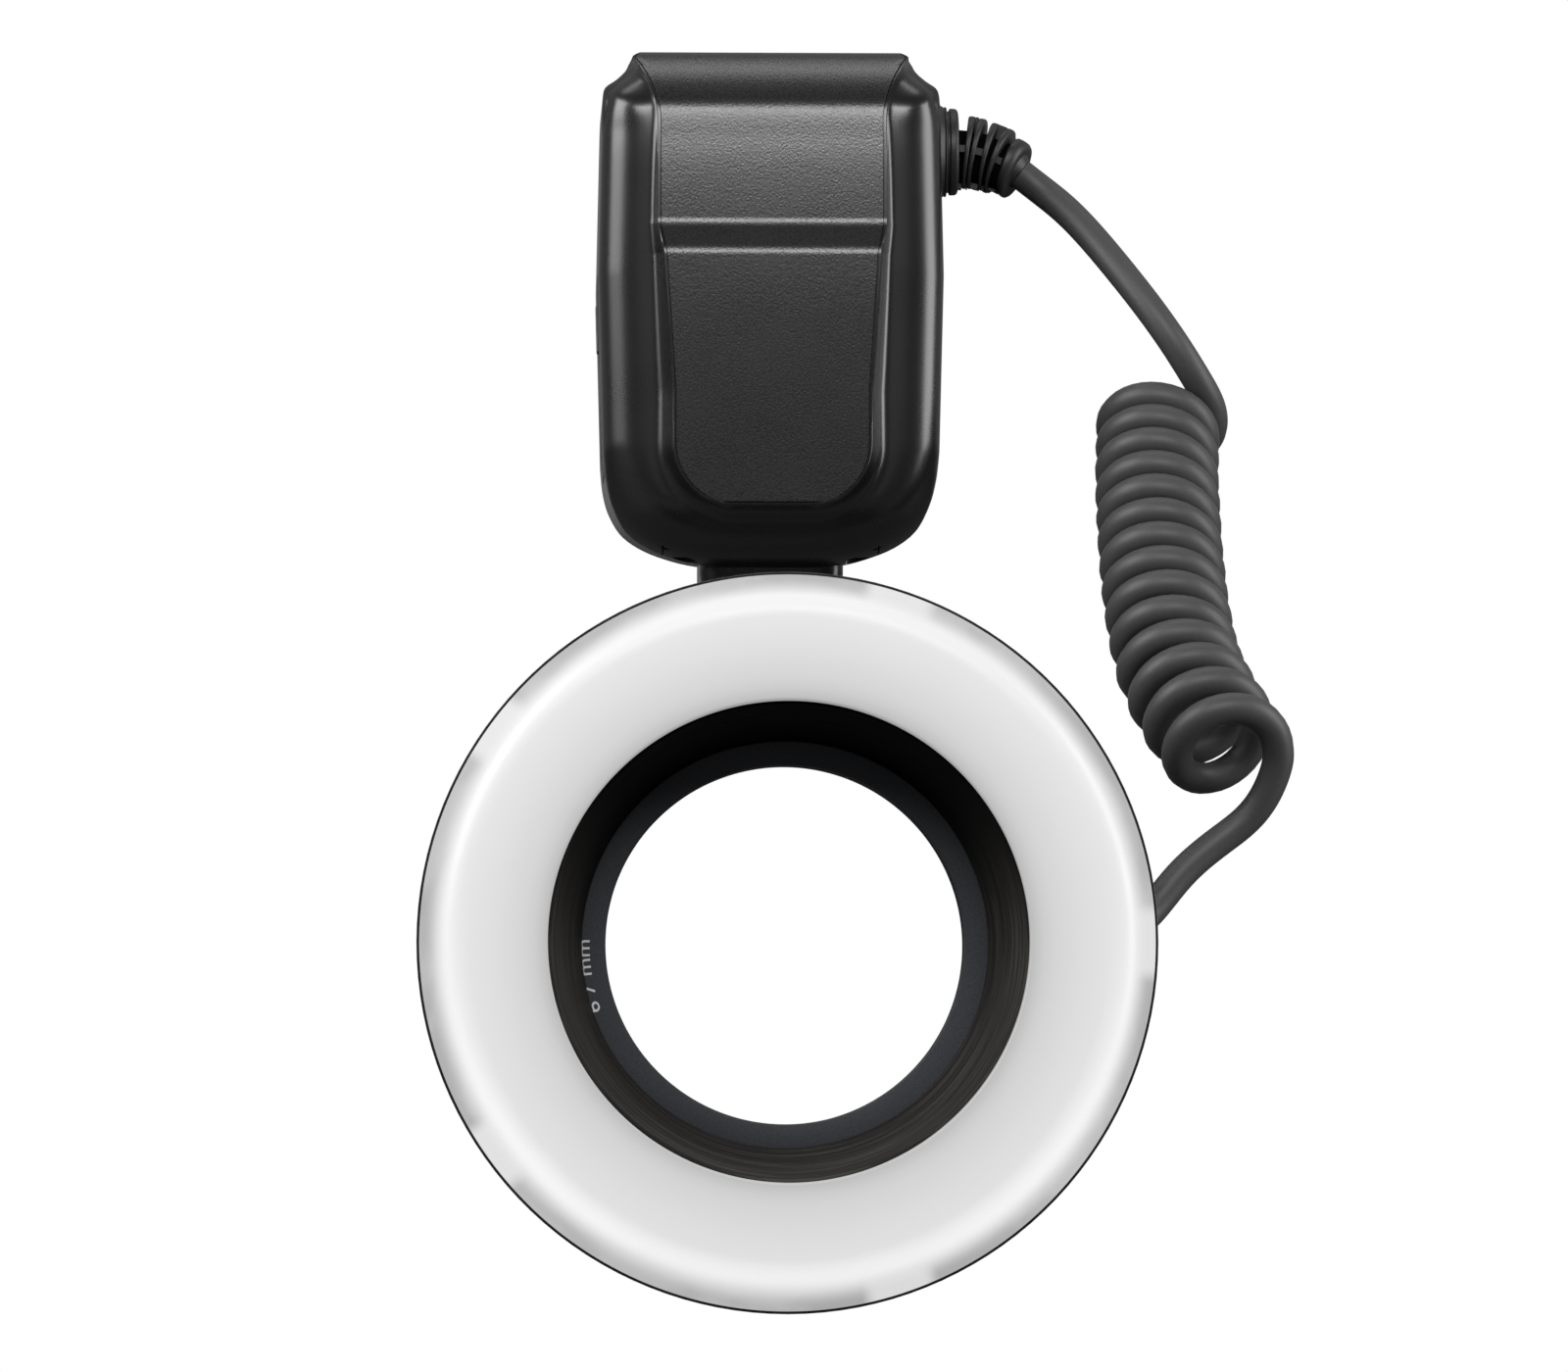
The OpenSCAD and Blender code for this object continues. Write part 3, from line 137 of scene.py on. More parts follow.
def curl_at(turn):
    """A place on the curls, after so many turns."""
    share = (turn + coil_lead_turns) / coil_span_turns
    step = 0.01
    along = unit(smooth_at(coil_points, min(1, share + step)) - smooth_at(coil_points, max(0, share - step)))
    right = unit(np.array([1.0, 0, 0]) - along * along[0])
    back = np.cross(right, along)
    reach = coil_d / 2 + coil_flare * max(0, 1 - turn / coil_flare_turns) ** 2
    angle = 2 * math.pi * turn
    return smooth_at(coil_points, share) + reach * (math.cos(angle) * right + math.sin(angle) * back)


def lead(points, steps=10, passes=40):
    """Points along a smooth lead; each pass eases its bends."""
    path = np.array(points, dtype=float)
    count = steps * (len(path) - 1)
    line = np.array([smooth_at(path, i / count) for i in range(count + 1)])
    for _ in range(passes):
        line[1:-1] = (line[:-2] + 2 * line[1:-1] + line[2:]) / 4
    return list(line)


nudge = 0.02
out_of_curls = unit(curl_at(coil_turns + nudge) - curl_at(coil_turns - nudge))
curls_out = curl_at(coil_turns) + cord_d / 2 * out_of_curls
upper = lead([boot_tip, boot_tip + cord_d * boot_dir] + upper_points
             + [curl_at(coil_start), curl_at(coil_start + curl_join)])
lower = lead([curl_at(coil_turns), curls_out] + lower_points
             + [ring_boot_tip + cord_d * boss_dir, ring_boot_tip])
curl_count = int((coil_turns - coil_start - curl_join) * curl_points)
curls = [curl_at(turn) for turn in np.linspace(coil_start + curl_join, coil_turns, curl_count)[1:-1]]
route = np.array(upper + curls + lower) * mm

# %% Cord curve
cord_data = bpy.data.curves.new("cord", "CURVE")
cord_data.dimensions = "3D"
cord_data.bevel_depth = cord_d / 2 * mm
cord_data.bevel_resolution = 5
cord_data.use_fill_caps = True
spline = cord_data.splines.new("POLY")
spline.points.add(len(route) - 1)
spline.points.foreach_set("co", np.hstack([route, np.ones((len(route), 1))]).ravel())
spline.use_smooth = True
cord_line = show("cord_line", cord_data)
graph = bpy.context.evaluated_depsgraph_get()
cord_mesh = bpy.data.meshes.new_from_object(cord_line.evaluated_get(graph))
cord_mesh.shade_smooth()
bpy.data.objects.remove(cord_line)
cord = show("cord", cord_mesh)
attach(cord, "flash")
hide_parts("cord_upper_lead", "cord_coil", "cord_lower_lead")
print("cord:", len(cord_mesh.polygons), "faces")

# %% [markdown]
# ## Shader sums
# Finishes are built from nodes, but node trees are hard to read as code. A small class wraps one socket,
# so that a sum such as `0.3 + 0.1 * grain` adds its Math nodes by itself. Every other node comes from the
# one method `add`, which takes the node's type, its settings, and the values or links of its sockets.


# %% A socket that does sums
class Wire:
    """An output socket of a node tree, which can be used in sums."""

    def __init__(self, tree, socket=None):
        self.tree = tree
        self.socket = socket

    def add(self, kind, settings=None, sockets=None, out=0):
        node = self.tree.nodes.new("ShaderNode" + kind)
        for name, value in (settings or {}).items():
            if name == "stops":
                first, *between, last = value
                node.color_ramp.elements[0].position, node.color_ramp.elements[0].color = first
                node.color_ramp.elements[1].position, node.color_ramp.elements[1].color = last
                for position, colour in between:
                    node.color_ramp.elements.new(position).color = colour
            else:
                setattr(node, name, value)
        for name, value in (sockets or {}).items():
            if isinstance(value, Wire):
                self.tree.links.new(value.socket, node.inputs[name])
            else:
                node.inputs[name].default_value = value
        return Wire(self.tree, node.outputs[out])

    def output(self, name):
        """Another output of the same node."""
        return Wire(self.tree, self.socket.node.outputs[name])

    def math(self, operation, *values):
        return self.add("Math", {"operation": operation}, dict(enumerate(values)))

    def __add__(self, other):
        return self.math("ADD", self, other)

    def __radd__(self, other):
        return self.math("ADD", other, self)

    def __sub__(self, other):
        return self.math("SUBTRACT", self, other)

    def __rsub__(self, other):
        return self.math("SUBTRACT", other, self)

    def __mul__(self, other):
        return self.math("MULTIPLY", self, other)

    def __rmul__(self, other):
        return self.math("MULTIPLY", other, self)

    def __truediv__(self, other):
        return self.math("DIVIDE", self, other)

    def __pow__(self, other):
        return self.math("POWER", self, other)

    def between(self, low, high):
        """0 below low, 1 above high, smooth between them."""
        return self.add("MapRange", {"interpolation_type": "SMOOTHSTEP"},
                        {0: self, 1: low, 2: high, 3: 0.0, 4: 1.0})

    def blend(self, first, second):
        """The first colour where this is 0, the second where it is 1."""
        return self.add("Mix", {"data_type": "RGBA"}, {0: self, 6: first, 7: second}, out=2)

    def scaled(self, factor):
        """This colour, brighter or darker."""
        return self.add("VectorMath", {"operation": "SCALE"}, {0: self, "Scale": factor})

    def stretched(self, factors):
        """This place, with each of its coordinates times its own factor."""
        return self.add("VectorMath", {"operation": "MULTIPLY"}, {0: self, 1: factors})


def grey(value, warm=0.0):
    """A grey colour, a little warmer or cooler if asked."""
    return (value * (1 + warm), value, value * (1 - warm), 1.0)


def tint(colour, factor):
    """A colour, brighter or darker."""
    return tuple(factor * part for part in colour[:3]) + (1,)


print("shader sums ready")

# %% [markdown]
# ## Finishes
# Most of the object is moulded plastic. Moulded plastic is never one flat colour: its gloss drifts a little
# over the surface, and a fine spark-eroded grain breaks the highlights up. One function makes all of these,
# with its own colour, gloss and grain for each slot. The places come from object coordinates, which are the
# part's own metres, so a grain of 0.3 mm is a scale of about 3000.


# %% Moulded finishes
def start(name, colour, **constants):
    """A new finish with its shader, and the place on the object to build its pattern from."""
    finish = bpy.data.materials.new(name)
    finish.use_nodes = True
    tree = finish.node_tree
    shader = tree.nodes["Principled BSDF"]
    shader.inputs["Base Color"].default_value = colour
    finish.diffuse_color = colour
    for socket, value in constants.items():
        shader.inputs[socket.replace("_", " ")].default_value = value
    return finish, shader, Wire(tree).add("TexCoord", out="Object")


def lead_in(wire, shader, socket):
    """Links a value or colour to a socket of a shader."""
    wire.tree.links.new(wire.socket, shader.inputs[socket])


def noise(place, scale, detail=2.0, rough=0.5):
    """A cloudy value from 0 to 1, about one half on average."""
    return place.add("TexNoise", {}, {"Vector": place, "Scale": scale, "Detail": detail, "Roughness": rough})


def emboss(height, shader, strength, depth, invert=False):
    """Makes a height stand out of the surface as a bump."""
    bump = height.add("Bump", {"invert": invert}, {"Strength": strength, "Distance": depth, "Height": height})
    lead_in(bump, shader, "Normal")


def moulded(name, colour, gloss, drift=0.06, grain=2500, depth=0.00002, strength=0.25, **constants):
    """Plastic or rubber with drifting gloss, a mottled colour and a moulded grain."""
    finish, shader, place = start(name, colour, **constants)
    cloud = noise(place, 90, 3)
    fine = noise(place, grain, 2)
    lead_in(gloss + drift * (cloud - 0.5) + 0.5 * drift * (fine - 0.5), shader, "Roughness")
    mottle = 0.25 * cloud + 0.75 * fine
    lead_in(mottle.blend(tint(colour, 0.8), tint(colour, 1.25)), shader, "Base Color")
    emboss(fine, shader, strength, depth)
    return finish


finishes = {
    "case_black": moulded("satin_case", grey(0.005), 0.28, 0.05, 3500, 0.00001, 0.12, IOR=1.65),
    "inner_plastic": moulded("inner_moulding", grey(0.03), 0.5),
    "boot_rubber": moulded("boot_rubber", grey(0.016), 0.46, 0.1, 2200, 0.00002, 0.3),
    "cord_rubber": moulded("cord_rubber", grey(0.048), 0.5, 0.08, 2600, 0.00003, 0.3),
    "battery_black": moulded("battery_moulding", grey(0.016), 0.42),
    "catch_grey": moulded("catch_moulding", grey(0.07), 0.45),
    "key_black": moulded("key_rubber", grey(0.026), 0.48, 0.08, 3000, 0.00002, 0.3),
    "display_body": moulded("display_panel", (0.11, 0.13, 0.105, 1), 0.35),
    "capacitor_sleeve": moulded("capacitor_sleeve", (0.02, 0.03, 0.09, 1), 0.3),
    "winding": moulded("winding_tape", (0.3, 0.16, 0.05, 1), 0.45),
    "cell_wrap": moulded("cell_wrap", (0.05, 0.15, 0.4, 1), 0.3),
    "circuit_board": moulded("solder_mask", (0.012, 0.09, 0.035, 1), 0.35),
    "lamp_lens": moulded("lamp_lens", (0.85, 0.8, 0.6, 1), 0.15),
    "tube_glass": moulded("tube_glass", (0.8, 0.84, 0.88, 1), 0.08, Transmission_Weight=0.7),
}
print("moulded finishes:", len(finishes))

# %% [markdown]
# ## Metal finishes
# The shoe plate, screws and contacts are bare or plated metal. Turned and stamped metal shows fine scratches
# along one direction, so the noise is stretched before it drives the gloss.


# %% Metal finishes
def metal(name, colour, gloss, stretch=(1, 1, 12), scale=900):
    """Plated or bare metal with fine stretched scratches."""
    finish, shader, place = start(name, colour, Metallic=1.0)
    scratch = noise(place.stretched(stretch), scale, 4)
    cloud = noise(place, 120, 2)
    lead_in(gloss + 0.14 * (scratch - 0.5) + 0.1 * (cloud - 0.5), shader, "Roughness")
    lead_in(cloud.between(0.3, 0.7).blend(tint(colour, 0.75), colour), shader, "Base Color")
    emboss(scratch, shader, 0.15, 0.00001)
    return finish


finishes["screw_steel"] = metal("black_screw", grey(0.09), 0.36)
finishes["contact_gold"] = metal("gilt_contact", (0.78, 0.58, 0.24, 1), 0.25)
finishes["socket_metal"] = metal("plated_socket", grey(0.62), 0.25)
finishes["shoe_metal"] = metal("shoe_plate_metal", grey(0.5), 0.34, (1, 14, 1))
finishes["bright_reflector"] = metal("bright_reflector", grey(0.8), 0.2)
cord_mesh.materials.clear()
cord_mesh.materials.append(finishes["cord_rubber"])
print("metal finishes made")

# %% [markdown]
# ## Building helpers
# Three ways of making a skin cover the whole object. `lathe` turns an outline round an axis, which is how
# the ring's parts are made on the real thing. `skin` makes an object out of points and faces, gives it a
# finish, and hides the solid it stands for. `dress` takes a solid whose shape is already right
# and rounds its edges with a bevel, because no moulded edge is ever knife-sharp.


# %% Lathe
def lathe(outline, segments=180):
    """Points and faces of a closed (radius, height) outline turned round the z axis."""
    count = len(outline)
    points = []
    for i in range(segments):
        turn = 2 * math.pi * i / segments
        points += [(r * math.cos(turn), r * math.sin(turn), h) for r, h in outline]
    faces = []
    for i in range(segments):
        here, there = i * count, (i + 1) % segments * count
        for j in range(count):
            k = (j + 1) % count
            faces.append((here + j, there + j, there + k, here + k))
    return points, faces


def rounded(outline, steps=4):
    """An outline whose corners, given as (x, y, radius), are rounded."""
    result = []
    count = len(outline)
    for i, (x, y, radius) in enumerate(outline):
        corner = np.array([x, y])
        before = np.array(outline[i - 1][:2]) - corner
        after = np.array(outline[(i + 1) % count][:2]) - corner
        if radius <= 0:
            result.append((x, y))
            continue
        a = corner + unit(before) * min(radius, np.linalg.norm(before) * 0.49)
        b = corner + unit(after) * min(radius, np.linalg.norm(after) * 0.49)
        for k in range(steps + 1):
            t = k / steps
            result.append(tuple((1 - t) ** 2 * a + 2 * t * (1 - t) * corner + t**2 * b))
    return result


ring_y, ring_z = -100, -60
stand_up = Matrix.Rotation(math.radians(90), 4, "X")
to_ring = Matrix.Translation((0, ring_y, ring_z)) @ stand_up
print("the ring's axis is at y", ring_y, "z", ring_z)


# %% Skins
def skin(name, parts, slot, body="flash", stands_for=(), place=None, sharp=38, finish=None, inside=None):
    """An object from points and faces, in millimetres, on a body; an open sheet faces away from inside."""
    points, faces = [], []
    for part_points, part_faces in parts:
        offset = len(points)
        points += [tuple(p) for p in part_points]
        faces += [tuple(v + offset for v in face) for face in part_faces]
    mesh = bpy.data.meshes.new(name)
    mesh.from_pydata(points, [], faces)
    shaped = bmesh.new()
    shaped.from_mesh(mesh)
    bmesh.ops.remove_doubles(shaped, verts=shaped.verts, dist=0.0005)
    bmesh.ops.recalc_face_normals(shaped, faces=shaped.faces)
    if inside:
        away = sum((face.calc_center_median() - Vector(inside)).dot(face.normal) * face.calc_area()
                   for face in shaped.faces)
        if away < 0:
            bmesh.ops.reverse_faces(shaped, faces=shaped.faces)
    shaped.to_mesh(mesh)
    shaped.free()
    mesh.transform(Matrix.Scale(mm, 4) @ (place or Matrix.Identity(4)))
    mesh.shade_smooth()
    mesh.set_sharp_from_angle(angle=math.radians(sharp))
    mesh.materials.append(finish or finishes[slot])
    piece = show(name, mesh)
    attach(piece, body)
    if stands_for:
        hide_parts(*stands_for)
    return piece


print("skins can be made")

# %% Dressed copies
node_body = {n: b for b, nodes in frame["record"]["behaviour"]["bodies"].items() for n in nodes}
node_slot = {s["node"]: s["material_slot"] for s in frame["record"]["subparts"]}


def dress(node, bevel=0.35, shift=None, segments=2, angle=32):
    """A copy of a solid with rounded edges and its finish; shift may move its points, in millimetres."""
    source = frame["nodes"][node].data
    mesh = bpy.data.meshes.new(node + "_skin")
    points = [v.co / mm for v in source.vertices]
    points = [Vector(shift(*p)) if shift else p for p in points]
    mesh.from_pydata([p * mm for p in points], [], [p.vertices[:] for p in source.polygons])
    shaped = bmesh.new()
    shaped.from_mesh(mesh)
    bmesh.ops.remove_doubles(shaped, verts=shaped.verts, dist=1e-6)
    bmesh.ops.dissolve_limit(shaped, angle_limit=math.radians(0.5), verts=shaped.verts, edges=shaped.edges)
    shaped.to_mesh(mesh)
    shaped.free()
    mesh.shade_smooth()
    mesh.materials.append(finishes[node_slot[node]])
    piece = show(node + "_skin", mesh)
    edges = piece.modifiers.new("rounded_edges", "BEVEL")
    edges.width = bevel * mm
    edges.segments = segments
    edges.limit_method = "ANGLE"
    edges.angle_limit = math.radians(angle)
    edges.harden_normals = True
    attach(piece, node_body[node])
    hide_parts(node)
    return piece


print("solids that can be dressed:", len(node_slot))

# %% [markdown]
# ## Diffuser
# The face of the ring is one milky moulding: flat in front, rounded at its brow, with a sloping side that
# clips into the housing. Five clips shine through the side as paler windows. The shape is a lathe; the milk
# is a colour that follows the radius, with painted shade towards the inner edge and over the rim. Most of
# that colour is given off as a painted glow, strongest at the lower brow as painted light, and only the
# rest is left to the lamps.

# %% Diffuser
inner_r, outer_r = 42.7, 65.5
diffuser_outline = rounded([
    (inner_r, 26, 0.3), (inner_r, 31, 0.5), (60.6, 31, 3.0), (outer_r, 22.4, 0.5), (outer_r, 22, 0.1),
    (63.5, 22, 0.1), (63.4, 22.8, 0.3), (60, 28.4, 1), (58, 29, 1), (44.7, 29, 0.3), (44.7, 26, 0.3),
], 7)
painted_glow_share = 0.64  # the share of its colour that is a painted glow
milk, milk_shader, place = start("milk_plastic", grey(0.8), IOR=1.46, Emission_Strength=painted_glow_share)
across = place.add("SeparateXYZ", {}, {0: place})
upward = across.output("Z") - ring_z * mm
radius = (across * across + upward * upward) ** 0.5
around = place.math("ARCTAN2", upward, across)
share = (radius - inner_r * mm) / ((outer_r - inner_r) * mm)
# painted shade: the face colour is darker towards its inner edge and over the rim of the brow
face = share.add("ValToRGB", {"stops": [
    (0.0, grey(0.50)), (0.04, grey(0.56)), (0.11, grey(0.64)), (0.19, grey(0.69)), (0.42, grey(0.76)),
    (0.65, grey(0.81)), (0.78, grey(0.83)), (0.875, grey(0.76)), (1.0, grey(0.66)),
]}, {"Fac": share})
clip_count = 5
clips = place.math("COSINE", clip_count * around).between(0.84, 0.95)
streaks = noise(place, 70, 3)
side = streaks.between(0.35, 0.65).blend(grey(0.41), grey(0.5))
side = clips.blend(side, grey(0.72))
milk_and_painted_shade = radius.between(61.0 * mm, 65.0 * mm).blend(face, side)
# painted glow: most of the colour is given off by the milk, and only the rest is base colour for the lamps
lead_in(milk_and_painted_shade.scaled(1 - painted_glow_share), milk_shader, "Base Color")
# painted light: the lower brow glows brighter than the rest of the ring
lower_brow_painted_light = radius.between(56 * mm, 60.5 * mm) * (upward / (-66 * mm)).between(-0.3, 0.8)
lead_in(milk_and_painted_shade.scaled(1 + 0.4 * lower_brow_painted_light), milk_shader, "Emission Color")
lead_in(0.38 + 0.1 * streaks, milk_shader, "Roughness")
skin("diffuser_milk", [lathe(diffuser_outline, 240)], "milk_diffuser", stands_for=["diffuser"], place=to_ring,
     sharp=50, finish=milk)
print("diffuser: outline of", len(diffuser_outline), "points")

# %% [markdown]
# ## Cone
# Inside the ring a gloss black cone runs back to the adapter. It is turned on a lathe, and the tool leaves
# fine rings that catch the light in streaks. Modelling each ring would cost a great many faces, so the rings
# are a bump that depends only on the depth along the axis.

# %% Cone
cone_outline = rounded([
    (36.45, 6.4, 0.1), (36.5, 7.2, 0.3), (42.0, 29.2, 0.3), (42.1, 29.6, 0.15), (42.6, 29.6, 0.1),
    (42.6, 27, 0.2), (38.1, 9, 0.5), (46.4, 8, 0.2), (46.4, 6.4, 0.1),
], 3)
gloss, gloss_shader, place = start("turned_gloss", grey(0.02, 0.08), IOR=1.1)
along_axis = place.stretched((0.02, 1, 0.02))
turned = noise(along_axis, 1400, 3, 0.7)
coarse = noise(along_axis, 320, 2)
lead_in(0.35 + 0.3 * turned, gloss_shader, "Roughness")
upward = (place.add("SeparateXYZ", {}, {0: place}).output("Z") - ring_z * mm) / (40 * mm)
lined = turned.between(0.4, 0.7).blend(grey(0.018, 0.06), grey(0.06, 0.08))
# painted shade: the cone is near black towards its top, with the lighter turned rings below
lead_in(upward.between(-0.2, 0.75).blend(lined, grey(0.002)), gloss_shader, "Base Color")
emboss(turned + 0.6 * coarse, gloss_shader, 0.5, 0.00008)
skin("turned_cone", [lathe(cone_outline, 240)], "cone_gloss", stands_for=["bore_cone"], place=to_ring,
     finish=gloss)
print("cone: turned rings are a bump")

# %% [markdown]
# ## Lens adapter
# A slate grey ring carries the mounting thread, and the head clips over its flange. The thread and the steps
# in its bore are turned rings, so here they are real shapes: a zigzag in the outline that the lathe carries
# round.

# %% Lens adapter
slate, slate_shader, place = start("slate_anodised", (0.036, 0.039, 0.045, 1), Metallic=0.25)
grain = noise(place, 3800, 2)
cloud = noise(place, 80, 2)
lead_in(0.5 + 0.12 * (grain - 0.5) + 0.06 * (cloud - 0.5), slate_shader, "Roughness")
slate_tones = (0.027, 0.030, 0.036, 1), (0.047, 0.050, 0.058, 1)
lead_in(grain.between(0.25, 0.75).blend(*slate_tones), slate_shader, "Base Color")
emboss(grain, slate_shader, 0.4, 0.00003)
thread_pitch, thread_turns, step_count = 0.75, 5, 8
thread_ridges = [(r, low + thread_pitch * i) for i in range(thread_turns)
                 for r, low in ((33.05, -3.9), (33.5, -3.55))]
bore_steps = [(r, high - i) for i in range(step_count) for r, high in ((32.2, 5.2), (32.5, 4.9))]
adapter_outline = ([(32.3, -4), (33.0, -4)] + thread_ridges
                   + rounded([(33.1, -0.05, 0), (33.1, 0, 0), (40, 0, 0.4), (40, 2.8, 0.1), (38.8, 2.8, 0),
                              (38.8, 4.6, 0), (40, 4.6, 0.1), (40, 6, 0.4), (32.2, 6, 0.25)], 3)
                   + bore_steps)
skin("slate_adapter", [lathe(adapter_outline, 240)], "slate_anodised", "adapter", ["adapter_ring"], to_ring,
     finish=slate)
print("adapter: thread of", len(thread_ridges) // 2, "ridges")

# %% [markdown]
# ## Size mark
# The adapter's face carries its thread size in white, a plain number and unit. Text objects are flat, so each
# letter is set on the circle by itself, with its foot towards the middle.

# %% Size mark
ink = moulded("white_ink", grey(0.75), 0.5)
mark_r, mark_face = 35.05, 6.02
mark_size = 3.9
mark_stretch = Matrix.Diagonal((1.14, 0.88, 1, 1))
mark_angles = {"6": 198.2, "7": 193.0, "m": 186.5, "M": 181.1}  # the capital stands for the second m
for key, angle in mark_angles.items():
    letter_data = bpy.data.curves.new("size_mark_" + key, "FONT")
    letter_data.body = key.lower()
    letter_data.size = mark_size * mm
    letter_data.align_x = "CENTER"
    letter_data.extrude = 0.01 * mm
    letter_data.materials.append(ink)
    letter = show("size_mark_" + key, letter_data)
    letter.matrix_world = (Matrix.Translation((0, ring_y * mm, ring_z * mm)) @ stand_up
                           @ Matrix.Rotation(math.radians(angle), 4, "Z")
                           @ Matrix.Translation((mark_r * mm, 0, mark_face * mm))
                           @ Matrix.Rotation(math.radians(-90), 4, "Z") @ mark_stretch)
    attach(letter, "adapter")
print("size mark:", len(mark_angles), "letters")

# %% [markdown]
# ## Shape of the controller's front
# The front half of the controller is one moulding: two smooth side frames, and a proud tongue between them
# that runs over the top. It could be sculpted or built from boxes, but its edges must stay exact, so it is
# a height field: for every place on the front a formula gives the depth. The outlines of the case and of the
# tongue come first, and then how deep each of them lies.

# %% Case outline
case_low, case_high = 13.8, 111.8
corner_z, corner_r = 29.8, 16.0
seam_y = 9.0
side_zs, side_xs = [corner_z, 68.8, 100], [31.7, 32.7, 32.0]
shoulder_points = np.array([
    [32.0, 100], [31.8, 103.2], [31.2, 104.7], [29.3, 106.1], [27.6, 107.9], [26.9, 109.4], [26.2, 110.7],
    [24.7, 111.8],
])
shoulder = np.array([smooth_at(shoulder_points, i / 70) for i in range(71)])
chin_points = np.array([
    [8, 13.8], [13.2, 14.25], [18.3, 15.4], [23.5, 17.5], [27.6, 20.7], [30.1, 25.4], [31.3, 30],
    [31.83, 34.8],
])
chin = np.array([smooth_at(chin_points, i / 70) for i in range(71)])


def case_half(z):
    """Half the width of the case at a height."""
    if z < chin[-1, 1]:
        return float(np.interp(z, chin[:, 1], chin[:, 0]))
    if z > shoulder[0, 1]:
        return float(np.interp(z, shoulder[:, 1], shoulder[:, 0]))
    return float(np.interp(z, side_zs, side_xs))


print("case:", round(2 * max(side_xs), 1), "mm wide,", round(case_high - case_low, 1), "mm tall")

# %% Tongue outline
tongue_low, tongue_corner, tongue_core = 24.7, 11.5, 6.9
arc_z = tongue_low + tongue_corner
tongue_zs, tongue_xs = [46.3, 72.2, 77.9], [18.4, 20.1, 21.2]
roof_z, roof_tall, roof_spread, roof_power = 98, 11.8, 4.15, 1.85
edge_margin = 0.35


def tongue_half(z, grow=0.0):
    """Half the width of the proud tongue at a height, or of its outline grown by a distance."""
    if z < arc_z:
        half = tongue_core + math.sqrt(max(0, (tongue_corner + grow) ** 2 - (arc_z - z) ** 2))
    else:
        half = grow + float(np.interp(z, tongue_zs, tongue_xs))
    half += roof_spread * (max(0, z - roof_z) / roof_tall) ** roof_power
    return min(half, case_half(z) - edge_margin + 0.3 * min(grow, 1))


def tongue_gap(x, z):
    """How far a place lies outside the tongue; negative inside it."""
    if z < arc_z:
        return math.hypot(max(abs(x) - tongue_core, 0), arc_z - z) - tongue_corner
    return abs(x) - tongue_half(z)


print("tongue:", round(2 * tongue_half(60), 1), "mm wide half-way up")

# %% Depths of the front
tilt_zs = [tongue_low, 60, 71.7, 73.7, 77.1, 79.1, 88, 95, 98.2, 99.8, 101.2, 102.6, 106, 110, 111.2,
           case_high]
tilts = [-1, 0.5, 2, 27, 27, 2.5, 4, 6.5, 9, 12, 22, 34, 42, 52, 62, 80]
profile_zs = np.linspace(tilt_zs[0], case_high, 1500)
profile_slopes = np.tan(np.radians(np.interp(profile_zs, tilt_zs, tilts)))
tongue_front = -32.5
profile_ys = tongue_front + np.cumsum(profile_slopes) * (profile_zs[1] - profile_zs[0])


def tongue_y(z):
    """The depth of the tongue's face: its tilt up the face is given, and its depth is the sum of that."""
    return float(np.interp(z, profile_zs, profile_ys))


bevel_zs = [38, 50, 63, 72, 79, 98, 106, case_high]
bevel_widths = [5.0, 4.6, 3.8, 3.2, 2.6, 2.4, 2.6, 3.0]


def bevel_width(z):
    """How wide the hollow slope beside the tongue is."""
    return min(float(np.interp(z, bevel_zs, bevel_widths)), 0.8 * (case_half(z) - tongue_half(z)))


def soft_min(a, b, soft):
    """The smaller of two values, rounded where they cross."""
    mix = min(1, max(0, 0.5 + 0.5 * (b - a) / soft))
    return b + (a - b) * mix - soft * mix * (1 - mix)


def frame_face(z):
    """The depth of the side frames where they are flat: upright, and behind the tongue's face at the top."""
    upright, behind_tongue = -27.8, tongue_y(z) + 0.35
    return -soft_min(-behind_tongue, -upright, 0.9)


print("front: the tongue stands", round(frame_face(60) - tongue_y(60), 1), "mm proud")

# %% [markdown]
# ## Front shell
# Rows of points run up the case and columns run across it. The columns follow the tongue's edge and the
# case's outline, so both stay crisp with few faces. The rim of the field is drawn back to the seam, with the
# underside rising a little on the way, and closed. Then the hollow and the openings for the battery, the
# ports and the screws are cut out of it.

# %% Front shell rows and columns
corner_rows = [corner_z - corner_r * math.cos(t) for t in np.linspace(0, math.pi / 2, 26)]
plain_spans = [(30.8, 71.2, 38), (71.5, 73.9, 12), (74.3, 76.6, 4), (76.9, 79.3, 12), (80, 97.4, 18)]
plain_rows = [z for low, high, count in plain_spans for z in np.linspace(low, high, count)]
edge_rows = list(np.linspace(20.6, 24.6, 15)) + [24.7, 24.72, 111.44, 111.46]
edge_rows += list(24.72 + 5 * np.linspace(0.07, 1, 14) ** 2)
roof_rows = list(np.linspace(98.2, 111.8, 41))
rows = np.unique(np.round(corner_rows + plain_rows + edge_rows + roof_rows, 3))
rows = rows[np.concatenate([[True], np.diff(rows) > 0.015])]
pocket_low, pocket_high, pocket_deep = 24.71, 111.45, 0.45
lip = 0.4


def row_columns(z):
    """The places across one row, from the middle to the right edge."""
    tongue, edge = tongue_half(z), case_half(z)
    start_x = tongue_half(z, lip + bevel_width(z))
    inner = [(tongue - 0.02) * i / 12 for i in range(13)]
    sloping = [tongue + (start_x - tongue) * (i / 18) ** 1.2 for i in range(19)]
    pillar = [edge - (edge - start_x) * (1 - i / 16) ** 1.6 for i in range(1, 17)]
    return inner + sloping + pillar


print("front shell:", len(rows), "rows")

